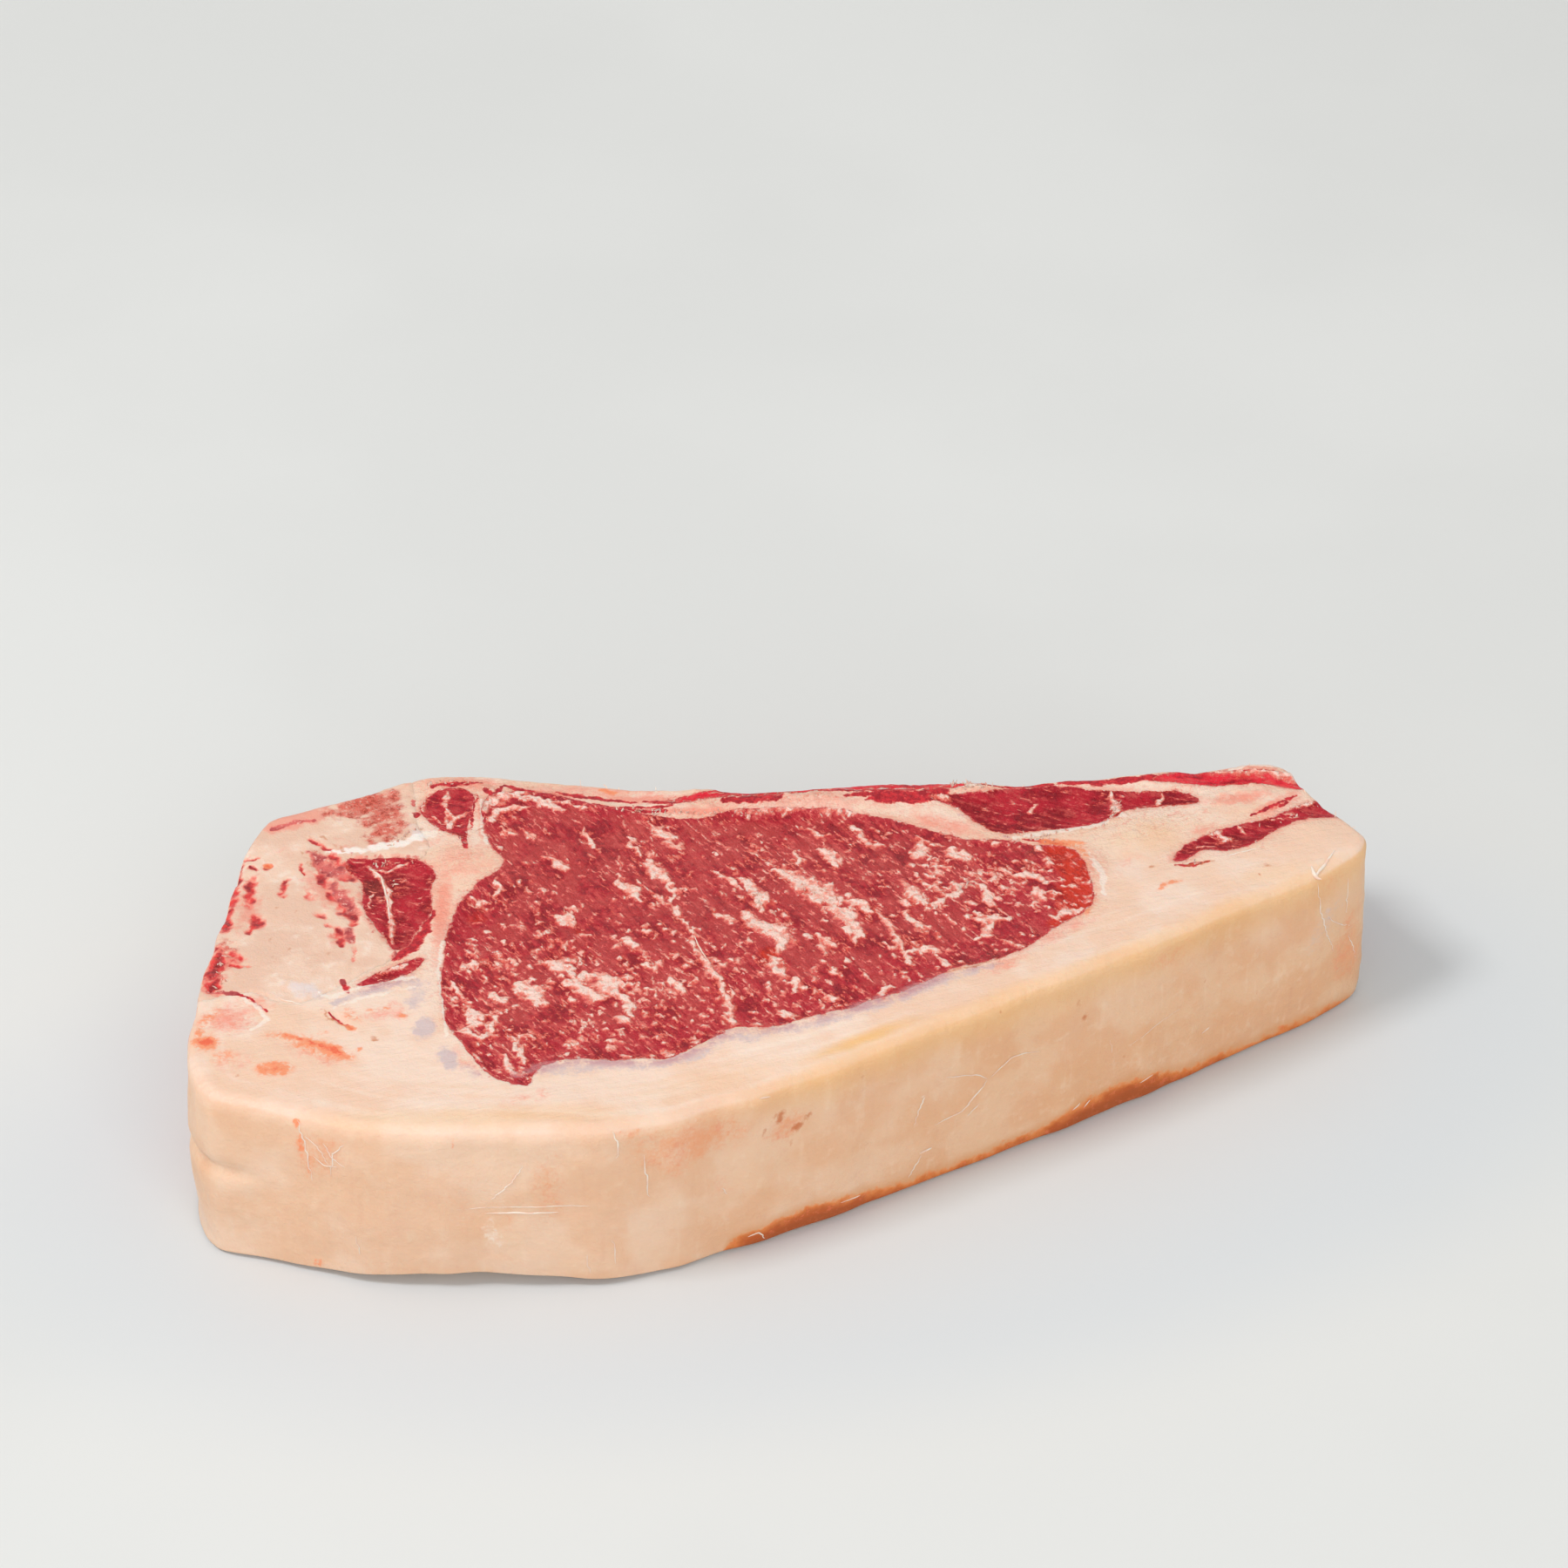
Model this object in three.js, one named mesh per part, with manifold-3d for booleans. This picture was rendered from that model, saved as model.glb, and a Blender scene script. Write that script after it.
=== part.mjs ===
// A thick raw beef steak on the bone, cut across the loin: the eye of lean, the small muscles round it,
// the sawn backbone and the fat that wraps and joins them all. Every piece runs through the whole thickness.
// Millimetres, +Z up. The steak lies on its lower cut face, with the fat cap towards -Y, the sawn bone
// towards -X and the tail towards +X.
import * as THREE from "three";
import { mergeVertices } from "three/addons/utils/BufferGeometryUtils.js";
import Module from "manifold-3d";

const wasm = await Module();
wasm.setup();

// Driving dimensions.
const THICKNESS = 38; // a cut of an inch and a half
const SEAM_GAP = 0.3; // clearance between neighbouring pieces
const BLOCK_STEP = 4.5; // spacing of the points round the whole steak
const SEAM_STEP = 3.6; // spacing of the points round a piece
const THIN_STEP = 2.4; // the same round the thin muscles
const OVERSHOOT = 6; // how far a cutter passes the surface that it cuts
const SHARPEST = 0.4; // keeps an offset from running away at a sharp tip

// The rim of the steak, from the lower cut face to the upper: height as a share of the thickness, and how
// far the rim stands in from the plan outline there.
const RIM_PROFILE = [
  [0.0, 1.6],
  [0.02, 0.7],
  [0.06, 0.2],
  [0.25, 0.0],
  [0.5, 0.0],
  [0.75, 0.2],
  [0.88, 0.7],
  [0.955, 1.7],
  [1.0, 3.8],
];

// The upper cut face swells and sinks by about a millimetre, as a knife leaves it in soft meat.
const FACE_CELL = 8; // grid spacing of the face
const FACE_MEAN = -0.7; // mean height of the face, counted from the rim
const SWELL = [
  { rise: 0.55, waveX: 205, waveY: 170, phase: 0.9 },
  { rise: 0.35, waveX: 83, waveY: -117, phase: 2.1 },
];
const LEAN_SINK = 0.7; // lean shrinks below the fat as it dries
const BONE_PROUD = 0.25; // and bone stays above it

// Plan outlines, each a closed smooth curve through these points.
const STEAK_OUTLINE = [
  [-114.6, -43], [-111.5, -49.5], [-104, -52.4], [-92, -56], [-79, -60.2], [-56, -60.8], [-36, -60],
  [-20, -54.3], [2, -43.3], [31, -26.3], [60, -8.6], [88, 10.3], [104.5, 22.3], [113, 30.2],
  [114.6, 34.6], [110.4, 40.8], [104.2, 49.8], [100.8, 57.8], [96, 60.6], [88, 59], [69, 55.4],
  [40, 51.8], [18, 51.6], [-1, 49], [-20, 49.8], [-49, 53.8], [-72, 55.2], [-86, 50], [-97, 43.6],
  [-105.5, 40], [-109.2, 31], [-112.2, 8], [-114.8, -18],
];
const LOIN_EYE = [
  [-50.5, -46], [-57.5, -43], [-62.5, -34.5], [-66.8, -25], [-68.4, -12], [-67.8, 2], [-65.6, 13],
  [-61, 20.5], [-57.6, 24.5], [-60.2, 30], [-62.4, 38], [-62.8, 46], [-58, 49], [-50, 48.6], [-41, 44.8],
  [-30, 41.4], [-21, 39.8], [-13, 41.8], [0, 42.2], [11, 42], [22, 38.2], [31, 34], [36, 32.9], [42, 34],
  [48, 31.6], [53.6, 31.6], [57, 26], [58.4, 17], [57.8, 10.8], [51.5, 4.6], [42, -5.4], [32, -9.4],
  [21, -16.8], [7, -23], [-6, -28.2], [-11, -27.6], [-18, -33], [-24.5, -37.4], [-36, -38], [-45, -38.2],
  [-49.8, -41],
];
const BONE = [
  [-121, -22], [-112, -19], [-104, -17.6], [-97, -20.8], [-90, -16.8], [-84, -10.6], [-78.6, -5.6],
  [-77, 6], [-76, 22], [-73.4, 30.4], [-76.2, 36.4], [-76.4, 42], [-77.6, 48], [-79, 62], [-96, 64],
  [-114, 52], [-122, 30],
];
const MULTIFIDUS = [
  [-88.4, 27.6], [-84.4, 26.6], [-78, 26.6], [-73, 24.2], [-70.8, 20.6], [-72.2, 16.6], [-71.6, 9],
  [-73.8, 3.4], [-76.2, -2.6], [-78.6, -3.6], [-79.6, 0.6], [-82.4, 5], [-85.2, 11.4], [-84.9, 15.6],
  [-86.4, 20], [-89, 23.6],
];
const MULTIFIDUS_SLIP = [
  [-85, -14.8], [-80.2, -10.4], [-75.6, -6.9], [-72.2, -5.2], [-73.2, -8.8], [-78.8, -13],
];
const CORNER_MUSCLE = [
  [-73.8, 48.2], [-71, 50.2], [-67.4, 50.4], [-65.4, 48.8], [-65, 44.4], [-65.6, 37.4], [-65.2, 29.4],
  [-67, 33.6], [-70, 35.4], [-72.8, 37.6], [-74.2, 40.6], [-75.6, 43],
];
const BACK_STRIP = [
  [-27, 45.7], [-12, 46.2], [2, 47.7], [14, 48.7], [26, 49.2], [34, 50.2], [32, 56], [12, 57],
  [-8, 54.6], [-15, 48.9],
];
const FLANK_MUSCLE = [
  [26.4, 46.9], [32.4, 43.8], [35.4, 39.8], [39, 36.9], [43, 35.8], [50, 37.4], [58.8, 39.4], [63.4, 41.3],
  [66.4, 44.6], [72.4, 45.7], [80.6, 46.8], [81.8, 48.7], [77.6, 50.3], [68, 50.2], [56, 50.4],
  [47, 50.9], [40, 49.6], [33, 48],
];
const TAIL_STRIP = [
  [72, 53.6], [76.4, 55.7], [84, 57.3], [92, 57.2], [98.4, 57.2], [108, 55.4], [105, 51.6], [98.2, 52.6],
  [90, 53.4], [80, 52.7],
];
const TAIL_MUSCLE = [
  [75, 26], [76.8, 30.2], [81, 34.6], [87, 38], [92.4, 40], [99, 43.4], [104.2, 47.4], [110, 49.5],
  [113.4, 43], [107.4, 41.6], [101, 40.4], [95.4, 36.4], [92, 33], [86.6, 30], [80.6, 29.9], [77.8, 26.8],
];

// Looks.
const FAT = new THREE.MeshStandardMaterial({ color: 0xf0cda4, roughness: 0.42, metalness: 0 });
const LEAN = new THREE.MeshStandardMaterial({ color: 0xb5424a, roughness: 0.35, metalness: 0 });
const DARK_LEAN = new THREE.MeshStandardMaterial({ color: 0x9c2f3b, roughness: 0.35, metalness: 0 });
const SAWN_BONE = new THREE.MeshStandardMaterial({ color: 0xedc9b0, roughness: 0.55, metalness: 0 });

// Points spaced evenly round the closed curve through an outline, anticlockwise.
function curvePoints(outline, step) {
  const through = outline.map(([x, y]) => new THREE.Vector3(x, y, 0));
  const curve = new THREE.CatmullRomCurve3(through, true, "centripetal");
  const points = curve.getSpacedPoints(Math.round(curve.getLength() / step)).slice(0, -1);
  const plan = points.map((p) => new THREE.Vector2(p.x, p.y));
  return THREE.ShapeUtils.isClockWise(plan) ? plan.reverse() : plan;
}

// The same points moved square to the curve: outwards, or inwards where the distance is negative.
function offsetPoints(points, distance) {
  const outward = (from, to) => new THREE.Vector2(to.y - from.y, from.x - to.x).normalize();
  return points.map((p, i) => {
    const side = outward(points[(i + points.length - 1) % points.length], p);
    const nextSide = outward(p, points[(i + 1) % points.length]);
    const between = side.clone().add(nextSide).normalize();
    const reach = distance / Math.max(SHARPEST, between.dot(side));
    return p.clone().addScaledVector(between, reach);
  });
}

// A closed three.js geometry as a manifold-3d solid.
function solidOf(geometry) {
  const bare = geometry.index ? geometry.toNonIndexed() : geometry.clone();
  bare.deleteAttribute("normal");
  bare.deleteAttribute("uv");
  const merged = mergeVertices(bare, 1e-4);
  return new wasm.Manifold(
    new wasm.Mesh({
      numProp: 3,
      vertProperties: merged.attributes.position.array,
      triVerts: new Uint32Array(merged.index.array),
    }),
  );
}

function geometryOf(solid) {
  const mesh = solid.getMesh();
  const geometry = new THREE.BufferGeometry();
  geometry.setAttribute("position", new THREE.BufferAttribute(new Float32Array(mesh.vertProperties), 3));
  geometry.setIndex(new THREE.BufferAttribute(new Uint32Array(mesh.triVerts), 1));
  geometry.computeVertexNormals();
  return geometry;
}

// A closed skin through rings of equal length, capped at both ends.
function skin(rings) {
  const count = rings[0].length;
  const positions = rings.flat().flatMap((p) => [p.x, p.y, p.z]);
  const faces = [];
  for (let level = 0; level + 1 < rings.length; level += 1) {
    for (let i = 0; i < count; i += 1) {
      const a = level * count + i;
      const b = level * count + ((i + 1) % count);
      faces.push(a, b, b + count, a, b + count, a + count);
    }
  }
  const cap = THREE.ShapeUtils.triangulateShape(rings[0].map((p) => new THREE.Vector2(p.x, p.y)), []);
  const top = (rings.length - 1) * count;
  cap.forEach(([a, b, c]) => faces.push(a, c, b, top + a, top + b, top + c));
  const geometry = new THREE.BufferGeometry();
  geometry.setAttribute("position", new THREE.Float32BufferAttribute(positions, 3));
  geometry.setIndex(faces);
  return solidOf(geometry);
}

// The whole steak as one block with a rounded rim and flat faces.
function wholeBlock() {
  const plan = curvePoints(STEAK_OUTLINE, BLOCK_STEP);
  const rings = RIM_PROFILE.map(([share, inset]) =>
    offsetPoints(plan, -inset).map((p) => new THREE.Vector3(p.x, p.y, share * THICKNESS)),
  );
  return skin(rings);
}

function faceHeight(x, y) {
  const turn = 2 * Math.PI;
  const swell = SWELL.reduce(
    (sum, s) => sum + s.rise * Math.sin(turn * (x / s.waveX + y / s.waveY) + s.phase),
    0,
  );
  return THICKNESS + FACE_MEAN + swell;
}

// Everything under the upper cut face, raised by a given amount: a box whose top follows the face.
function underFace(raise) {
  const plan = new THREE.Box2().setFromPoints(curvePoints(STEAK_OUTLINE, BLOCK_STEP));
  const size = plan.getSize(new THREE.Vector2()).addScalar(2 * OVERSHOOT);
  const middle = plan.getCenter(new THREE.Vector2());
  const cellsX = Math.ceil(size.x / FACE_CELL);
  const cellsY = Math.ceil(size.y / FACE_CELL);
  const box = new THREE.BoxGeometry(size.x, size.y, THICKNESS, cellsX, cellsY, 1);
  box.translate(middle.x, middle.y, 0);
  const at = box.attributes.position;
  for (let i = 0; i < at.count; i += 1) {
    const isTop = at.getZ(i) > 0;
    at.setZ(i, isTop ? faceHeight(at.getX(i), at.getY(i)) + raise : -OVERSHOOT);
  }
  return solidOf(box);
}

// A cutter: an outline extruded past both faces of the steak, grown by a clearance.
function cutter(outline, step, grow) {
  const shape = new THREE.Shape(offsetPoints(curvePoints(outline, step), grow));
  const depth = THICKNESS + 2 * OVERSHOOT;
  const extruded = new THREE.ExtrudeGeometry(shape, { depth, bevelEnabled: false });
  extruded.translate(0, 0, -OVERSHOOT);
  return solidOf(extruded);
}

// The largest body of a solid, without the scraps that a cut can leave.
function largestBody(solid) {
  return solid.decompose().reduce((best, body) => (body.volume() > best.volume() ? body : best));
}

// The pieces inside the fat, in cutting order: where two outlines meet, the earlier piece keeps the ground.
const PIECES = [
  { name: "loin_eye", outline: LOIN_EYE, step: SEAM_STEP, raise: -LEAN_SINK, material: LEAN },
  { name: "multifidus", outline: MULTIFIDUS, step: THIN_STEP, raise: -LEAN_SINK, material: DARK_LEAN },
  { name: "flank_muscle", outline: FLANK_MUSCLE, step: THIN_STEP, raise: -LEAN_SINK, material: DARK_LEAN },
  { name: "back_strip", outline: BACK_STRIP, step: SEAM_STEP, raise: -LEAN_SINK, material: DARK_LEAN },
  { name: "tail_strip", outline: TAIL_STRIP, step: THIN_STEP, raise: -LEAN_SINK, material: DARK_LEAN },
  { name: "tail_muscle", outline: TAIL_MUSCLE, step: THIN_STEP, raise: -LEAN_SINK, material: DARK_LEAN },
  { name: "corner_muscle", outline: CORNER_MUSCLE, step: THIN_STEP, raise: -LEAN_SINK, material: DARK_LEAN },
  { name: "multifidus_slip", outline: MULTIFIDUS_SLIP, step: THIN_STEP, raise: -LEAN_SINK, material: DARK_LEAN },
  { name: "bone", outline: BONE, step: SEAM_STEP, raise: BONE_PROUD, material: SAWN_BONE },
];

function meshOf(name, solid, material) {
  const mesh = new THREE.Mesh(geometryOf(solid), material);
  mesh.name = name;
  return mesh;
}

function makeSteak() {
  const steak = new THREE.Group();
  const block = wholeBlock();
  let taken = null;
  for (const piece of PIECES) {
    let solid = block.intersect(underFace(piece.raise)).intersect(cutter(piece.outline, piece.step, 0));
    if (taken) solid = solid.subtract(taken);
    steak.add(meshOf(piece.name, largestBody(solid), piece.material));
    const grown = cutter(piece.outline, piece.step, SEAM_GAP);
    taken = taken ? taken.add(grown) : grown;
  }
  const fat = block.intersect(underFace(0)).subtract(taken);
  steak.add(meshOf("fat_cap", largestBody(fat), FAT));

  // The origin is the middle of the steak's box, on the surface that it lies on.
  const box = new THREE.Box3().setFromObject(steak);
  const middle = box.getCenter(new THREE.Vector3());
  steak.children.forEach((mesh) => mesh.position.set(-middle.x, -middle.y, -box.min.z));
  return steak;
}

export default makeSteak();
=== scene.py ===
# %% [markdown]
# # A raw beef steak on the bone
# The steak is a thick slice across the loin: one large eye of lean, a few small dark muscles, the sawn
# backbone at one end, and the fat that wraps and joins them. The solids of the CAD model say where each
# of these lies. This script keeps their plan and gives each one the surface and the colour of real meat.

import math

import bpy
import numpy as np
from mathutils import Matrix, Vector, kdtree
from mathutils.geometry import delaunay_2d_cdt


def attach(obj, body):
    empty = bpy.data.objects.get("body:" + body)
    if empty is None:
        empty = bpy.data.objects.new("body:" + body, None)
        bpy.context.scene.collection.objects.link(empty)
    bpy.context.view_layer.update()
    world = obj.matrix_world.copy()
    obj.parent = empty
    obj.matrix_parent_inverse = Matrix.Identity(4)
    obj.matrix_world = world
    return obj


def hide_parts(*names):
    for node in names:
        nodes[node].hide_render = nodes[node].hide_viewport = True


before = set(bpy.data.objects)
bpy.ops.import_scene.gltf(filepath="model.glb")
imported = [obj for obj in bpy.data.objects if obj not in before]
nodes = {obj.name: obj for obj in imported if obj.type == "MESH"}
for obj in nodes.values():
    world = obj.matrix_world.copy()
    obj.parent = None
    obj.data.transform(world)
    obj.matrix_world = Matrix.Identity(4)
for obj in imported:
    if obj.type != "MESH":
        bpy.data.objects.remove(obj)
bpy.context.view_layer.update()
MM = 0.001
print("nodes:", sorted(nodes))


def put_in_scene(name, data):
    """A new object in the scene that shows this mesh, light or camera."""
    made = bpy.data.objects.new(name, data)
    bpy.context.scene.collection.objects.link(made)
    return made


# %% [markdown]
# ## Noise
# Nothing in meat is even, so nearly every step below needs smooth random variation. It could come from
# Blender's own noise one point at a time, but numpy works out a whole surface at once, which is much
# faster. This is the classic lattice noise: a random slope at each corner of a grid, blended between.

# %% Smooth noise for whole arrays of points
SLOPES = np.random.default_rng(11).normal(size=(256, 3))
SLOPES /= np.linalg.norm(SLOPES, axis=1, keepdims=True)
GRID_PRIMES = np.array([73856093, 19349663, 83492791])  # they scramble the number of a grid corner
FLAT_LEVEL = 0.37  # where plan points, which have no height, read the noise


def noise(points, size, seed=0):
    """Smooth noise, about -1 to 1, that changes over a distance of size. points has 2 or 3 columns."""
    p, size = np.asarray(points, float), np.atleast_1d(np.asarray(size, float))
    if p.shape[1] == 2:
        p = np.column_stack([p, np.full(len(p), FLAT_LEVEL)])
        size = np.append(size, 1.0) if len(size) == 2 else size
    p = p / size
    cell = np.floor(p).astype(np.int64)
    part = p - cell
    fade = part**3 * (part * (part * 6 - 15) + 10)
    total = np.zeros(len(p))
    for corner in range(8):
        step = np.array([corner & 1, corner >> 1 & 1, corner >> 2 & 1])
        key = (cell + step) * GRID_PRIMES
        mixed = (key[:, 0] ^ key[:, 1] ^ key[:, 2] ^ (seed * 374761393 + 668265263)) & 0x7FFFFFFF
        mixed = ((mixed ^ (mixed >> 13)) * 1274126177) & 0x7FFFFFFF
        slope = SLOPES[(mixed >> 8) % 256]
        weight = np.where(step, fade, 1 - fade).prod(axis=1)
        total += weight * ((part - step) * slope).sum(axis=1)
    return total * 1.6


def clouds(points, size, seed=0, layers=3):
    """Noise at several sizes, each half as large and half as strong as the one before."""
    size = np.asarray(size, float)
    return sum(noise(points, size / 2**i, seed + 17 * i) / 2**i for i in range(layers))


def ease(values, low, high):
    """0 below low, 1 above high, and a smooth ramp between. low may be above high to turn it round."""
    t = np.clip((values - low) / (high - low), 0, 1)
    return t * t * (3 - 2 * t)


# %% [markdown]
# ## The plan
# Every muscle runs straight through the steak, so a slice of the CAD solids at half height gives the
# plan of all of them. Each CAD outline has a point every few millimetres. A cut edge of meat wavers, so
# the outlines are smoothed, given a point every half millimetre, and moved a little by noise. The noise
# depends only on the place, so two neighbours that share an edge still share it afterwards.

# %% Slice the CAD solids
MUSCLES = ["loin_eye", "multifidus", "flank_muscle", "back_strip", "tail_strip", "tail_muscle"]
MUSCLES += ["corner_muscle", "multifidus_slip"]
INNER = MUSCLES + ["bone"]  # where two outlines overlap, the earlier name keeps the ground
SLICE_HEIGHT = 18.7


def slice_outline(node):
    """The outline of a CAD node at SLICE_HEIGHT, as points in mm, anticlockwise."""
    mesh = nodes[node].data
    mesh.calc_loop_triangles()
    co = np.empty(len(mesh.vertices) * 3)
    mesh.vertices.foreach_get("co", co)
    co = co.reshape(-1, 3) / MM
    tri = np.empty(len(mesh.loop_triangles) * 3, int)
    mesh.loop_triangles.foreach_get("vertices", tri)
    merged, same = np.unique(np.round(co, 3), axis=0, return_inverse=True)
    links = {}
    for face in same.reshape(-1)[tri].reshape(-1, 3):
        cut = []
        for a, b in ((face[0], face[1]), (face[1], face[2]), (face[2], face[0])):
            if (merged[a, 2] > SLICE_HEIGHT) != (merged[b, 2] > SLICE_HEIGHT):
                cut.append((min(a, b), max(a, b)))
        if len(cut) == 2:
            links.setdefault(cut[0], []).append(cut[1])
            links.setdefault(cut[1], []).append(cut[0])
    loops = []
    while links:
        first = here = next(iter(links))
        before, loop = None, []
        while True:
            loop.append(here)
            ways = [k for k in links.pop(here) if k != before]
            before, here = here, ways[0]
            if here == first or here not in links:
                break
        loops.append(loop)
    loop = max(loops, key=len)
    share = [(SLICE_HEIGHT - merged[a, 2]) / (merged[b, 2] - merged[a, 2]) for a, b in loop]
    points = np.array([merged[a, :2] * (1 - t) + merged[b, :2] * t for (a, b), t in zip(loop, share)])
    x, y = points.T
    area = (x * np.roll(y, -1) - y * np.roll(x, -1)).sum() / 2
    return points if area > 0 else points[::-1]


cad_outlines = {name: slice_outline(name) for name in INNER + ["fat_cap"]}
for name, points in cad_outlines.items():
    print(f"{name}: {len(points)} outline points")


# %% Even, smooth, wavering loops
def even_loop(points, step, soften=0.0):
    """A closed loop resampled to an even spacing, with bends sharper than soften (mm) smoothed."""
    fine = 0.1
    closed = np.vstack([points, points[:1]])
    along = np.concatenate([[0], np.cumsum(np.linalg.norm(np.diff(closed, axis=0), axis=1))])
    count = int(along[-1] / fine)
    at = np.linspace(0, along[-1], count, endpoint=False)
    loop = np.column_stack([np.interp(at, along, closed[:, i]) for i in range(2)])
    if soften:
        wave = np.fft.fftfreq(count, along[-1] / count)
        keep = np.exp(-0.5 * (2 * math.pi * wave * soften) ** 2)
        loop = np.real(np.fft.ifft(np.fft.fft(loop, axis=0) * keep[:, None], axis=0))
    return loop[np.linspace(0, count, max(12, round(along[-1] / step)), endpoint=False).astype(int)]


def outward(loop):
    """The unit vector that points out of an anticlockwise loop at each of its points."""
    along = np.roll(loop, -1, axis=0) - np.roll(loop, 1, axis=0)
    along /= np.linalg.norm(along, axis=1, keepdims=True)
    return np.column_stack([along[:, 1], -along[:, 0]])


def waver(points, small=0.3, tiny=0.16):
    """Moves plan points by noise, so that no cut edge stays a drawn curve."""
    moved = np.array(points, float)
    for size, far, seed in ((9.0, 0.55, 1), (2.2, small, 3), (0.95, tiny, 5)):
        moved += np.column_stack([noise(points, size, seed), noise(points, size, seed + 1)]) * far
    return moved


class Nearby:
    """Finds the nearest of many plan points, for distances to a loop."""

    def __init__(self, points):
        self.points = np.asarray(points, float)
        self.tree = kdtree.KDTree(len(self.points))
        for i, (x, y) in enumerate(self.points):
            self.tree.insert((x, y, 0), i)
        self.tree.balance()

    def find(self, points):
        """For each point, the index of the nearest and its distance."""
        hits = [self.tree.find((x, y, 0))[1:] for x, y in np.asarray(points, float)]
        found = np.array(hits)
        return found[:, 0].astype(int), found[:, 1]


CENTRE = np.array([0.0, 4.0])
SECTORS = 1440
EDGE_STEP = 0.5


def whole_outline():
    """The outline of the whole steak: the farthest slice point in each direction from the middle."""
    cloud = np.vstack([even_loop(points, 0.1) for points in cad_outlines.values()]) - CENTRE
    turn = np.arctan2(cloud[:, 1], cloud[:, 0]) / (2 * math.pi) % 1
    reach = np.zeros(SECTORS)
    np.maximum.at(reach, (turn * SECTORS).astype(int) % SECTORS, np.linalg.norm(cloud, axis=1))
    around = np.stack([np.roll(reach, shift) for shift in range(-3, 4)])
    reach = np.maximum(reach, np.median(around, axis=0))  # a direction that no point hit is filled in
    angle = (np.arange(SECTORS) + 0.5) * 2 * math.pi / SECTORS
    return CENTRE + reach[:, None] * np.column_stack([np.cos(angle), np.sin(angle)])


smooth_outline = even_loop(whole_outline(), EDGE_STEP, soften=1.2)
outline = waver(smooth_outline, 0.0, 0.0)
low, high = outline.min(axis=0).round(1), outline.max(axis=0).round(1)
print(f"outline: {len(outline)} points, {low} to {high} mm")

# %% The outlines of the inner pieces, each a little wider than in the CAD
INNER_STEP, INNER_SOFTEN = 0.42, 0.7
BONE_GROWS, MUSCLE_GROWS = 0.4, 0.15
AT_THE_RIM, PAST_THE_RIM = 0.9, 3.0  # a piece this near the rim is carried this far past it
smooth_normals = outward(smooth_outline)
to_outline = Nearby(smooth_outline)
inner_loops = {}
for name in INNER:
    loop = even_loop(cad_outlines[name], INNER_STEP, soften=INNER_SOFTEN)
    loop = loop + outward(loop) * (BONE_GROWS if name == "bone" else MUSCLE_GROWS)
    nearest, gap = to_outline.find(loop)
    reaches_out = gap < AT_THE_RIM
    loop[reaches_out] += smooth_normals[nearest[reaches_out]] * PAST_THE_RIM
    inner_loops[name] = waver(loop)

# %% [markdown]
# ## The rounded rim
# The fat cap was trimmed with a knife and is soft, so its upper edge is rounded over about three
# millimetres in front. The torn back keeps a sharper edge. The faces are meshed inside a loop that runs
# where this rounding has turned through 45 degrees, and the side takes over from there.

# %% The loops that bound the upper and lower faces
outline_normals = outward(outline)


def smooth_round(values, spread):
    """Values along the closed outline, blurred over a distance of spread in mm."""
    wave = np.fft.fftfreq(len(values), EDGE_STEP)
    keep = np.exp(-0.5 * (2 * math.pi * wave * spread) ** 2)
    return np.real(np.fft.ifft(np.fft.fft(values) * keep))


faces_front = ease(-outward(smooth_outline)[:, 1], -0.1, 0.5)
ROUND_BACK, ROUND_FRONT, ROUND_SPREAD = 1.3, 3.4, 4.0
rounding = smooth_round(ROUND_BACK + (ROUND_FRONT - ROUND_BACK) * faces_front, ROUND_SPREAD)
SLOPE_SHARE = 1 - math.cos(math.pi / 4)  # the share of a rounding that lies outside the face loop
upper_loop = outline - outline_normals * (rounding * SLOPE_SHARE)[:, None]
LOWER_ROUND = 0.9
LOWER_INSET = 0.7  # how far inside the outline the lower face ends, as a share of LOWER_ROUND

# %% [markdown]
# ## One mesh for the whole upper face
# The pieces could each be meshed alone, but then their edges would not meet point for point. One
# Delaunay triangulation of the whole face, with every outline forced into it, gives neighbours the same
# edge points. Its triangles are then dealt out to the pieces. The eye of lean carries the finest
# marbling, so it gets the closest spacing.

# %% Points inside the face
FINE_STEP = 0.25  # between the points of a loop that distances are measured to
EYE_SPACING, FACE_SPACING, EDGE_MARGIN = 0.37, 0.54, 0.55
LOWER_EYE_SPACING, LOWER_FACE_SPACING, LOWER_EDGE_MARGIN = 0.8, 1.6, 0.6
JITTER = 0.12  # of the spacing


def hex_points(low, high, spacing, seed):
    """Points on a jittered triangular grid over a rectangle."""
    rows = np.arange(low[1], high[1], spacing * math.sqrt(3) / 2)
    columns = np.arange(low[0], high[0], spacing)
    x, y = np.meshgrid(columns, rows)
    x = x + (np.arange(len(rows)) % 2)[:, None] * spacing / 2
    points = np.column_stack([x.ravel(), y.ravel()])
    return points + np.random.default_rng(seed).uniform(-JITTER, JITTER, points.shape) * spacing


class Inside:
    """Signed distance to a closed loop: positive inside it."""

    def __init__(self, loop):
        self.loop = even_loop(loop, FINE_STEP)
        self.normals = outward(self.loop)
        self.near = Nearby(self.loop)

    def depth(self, points):
        """How deep each point lies inside the loop, in mm."""
        nearest, gap = self.near.find(points)
        out = ((points - self.loop[nearest]) * self.normals[nearest]).sum(axis=1)
        return np.where(out < 0, gap, -gap)


eye_inside = Inside(inner_loops["loin_eye"])
upper_inside = Inside(upper_loop)
span = upper_loop.min(axis=0), upper_loop.max(axis=0)


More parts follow.
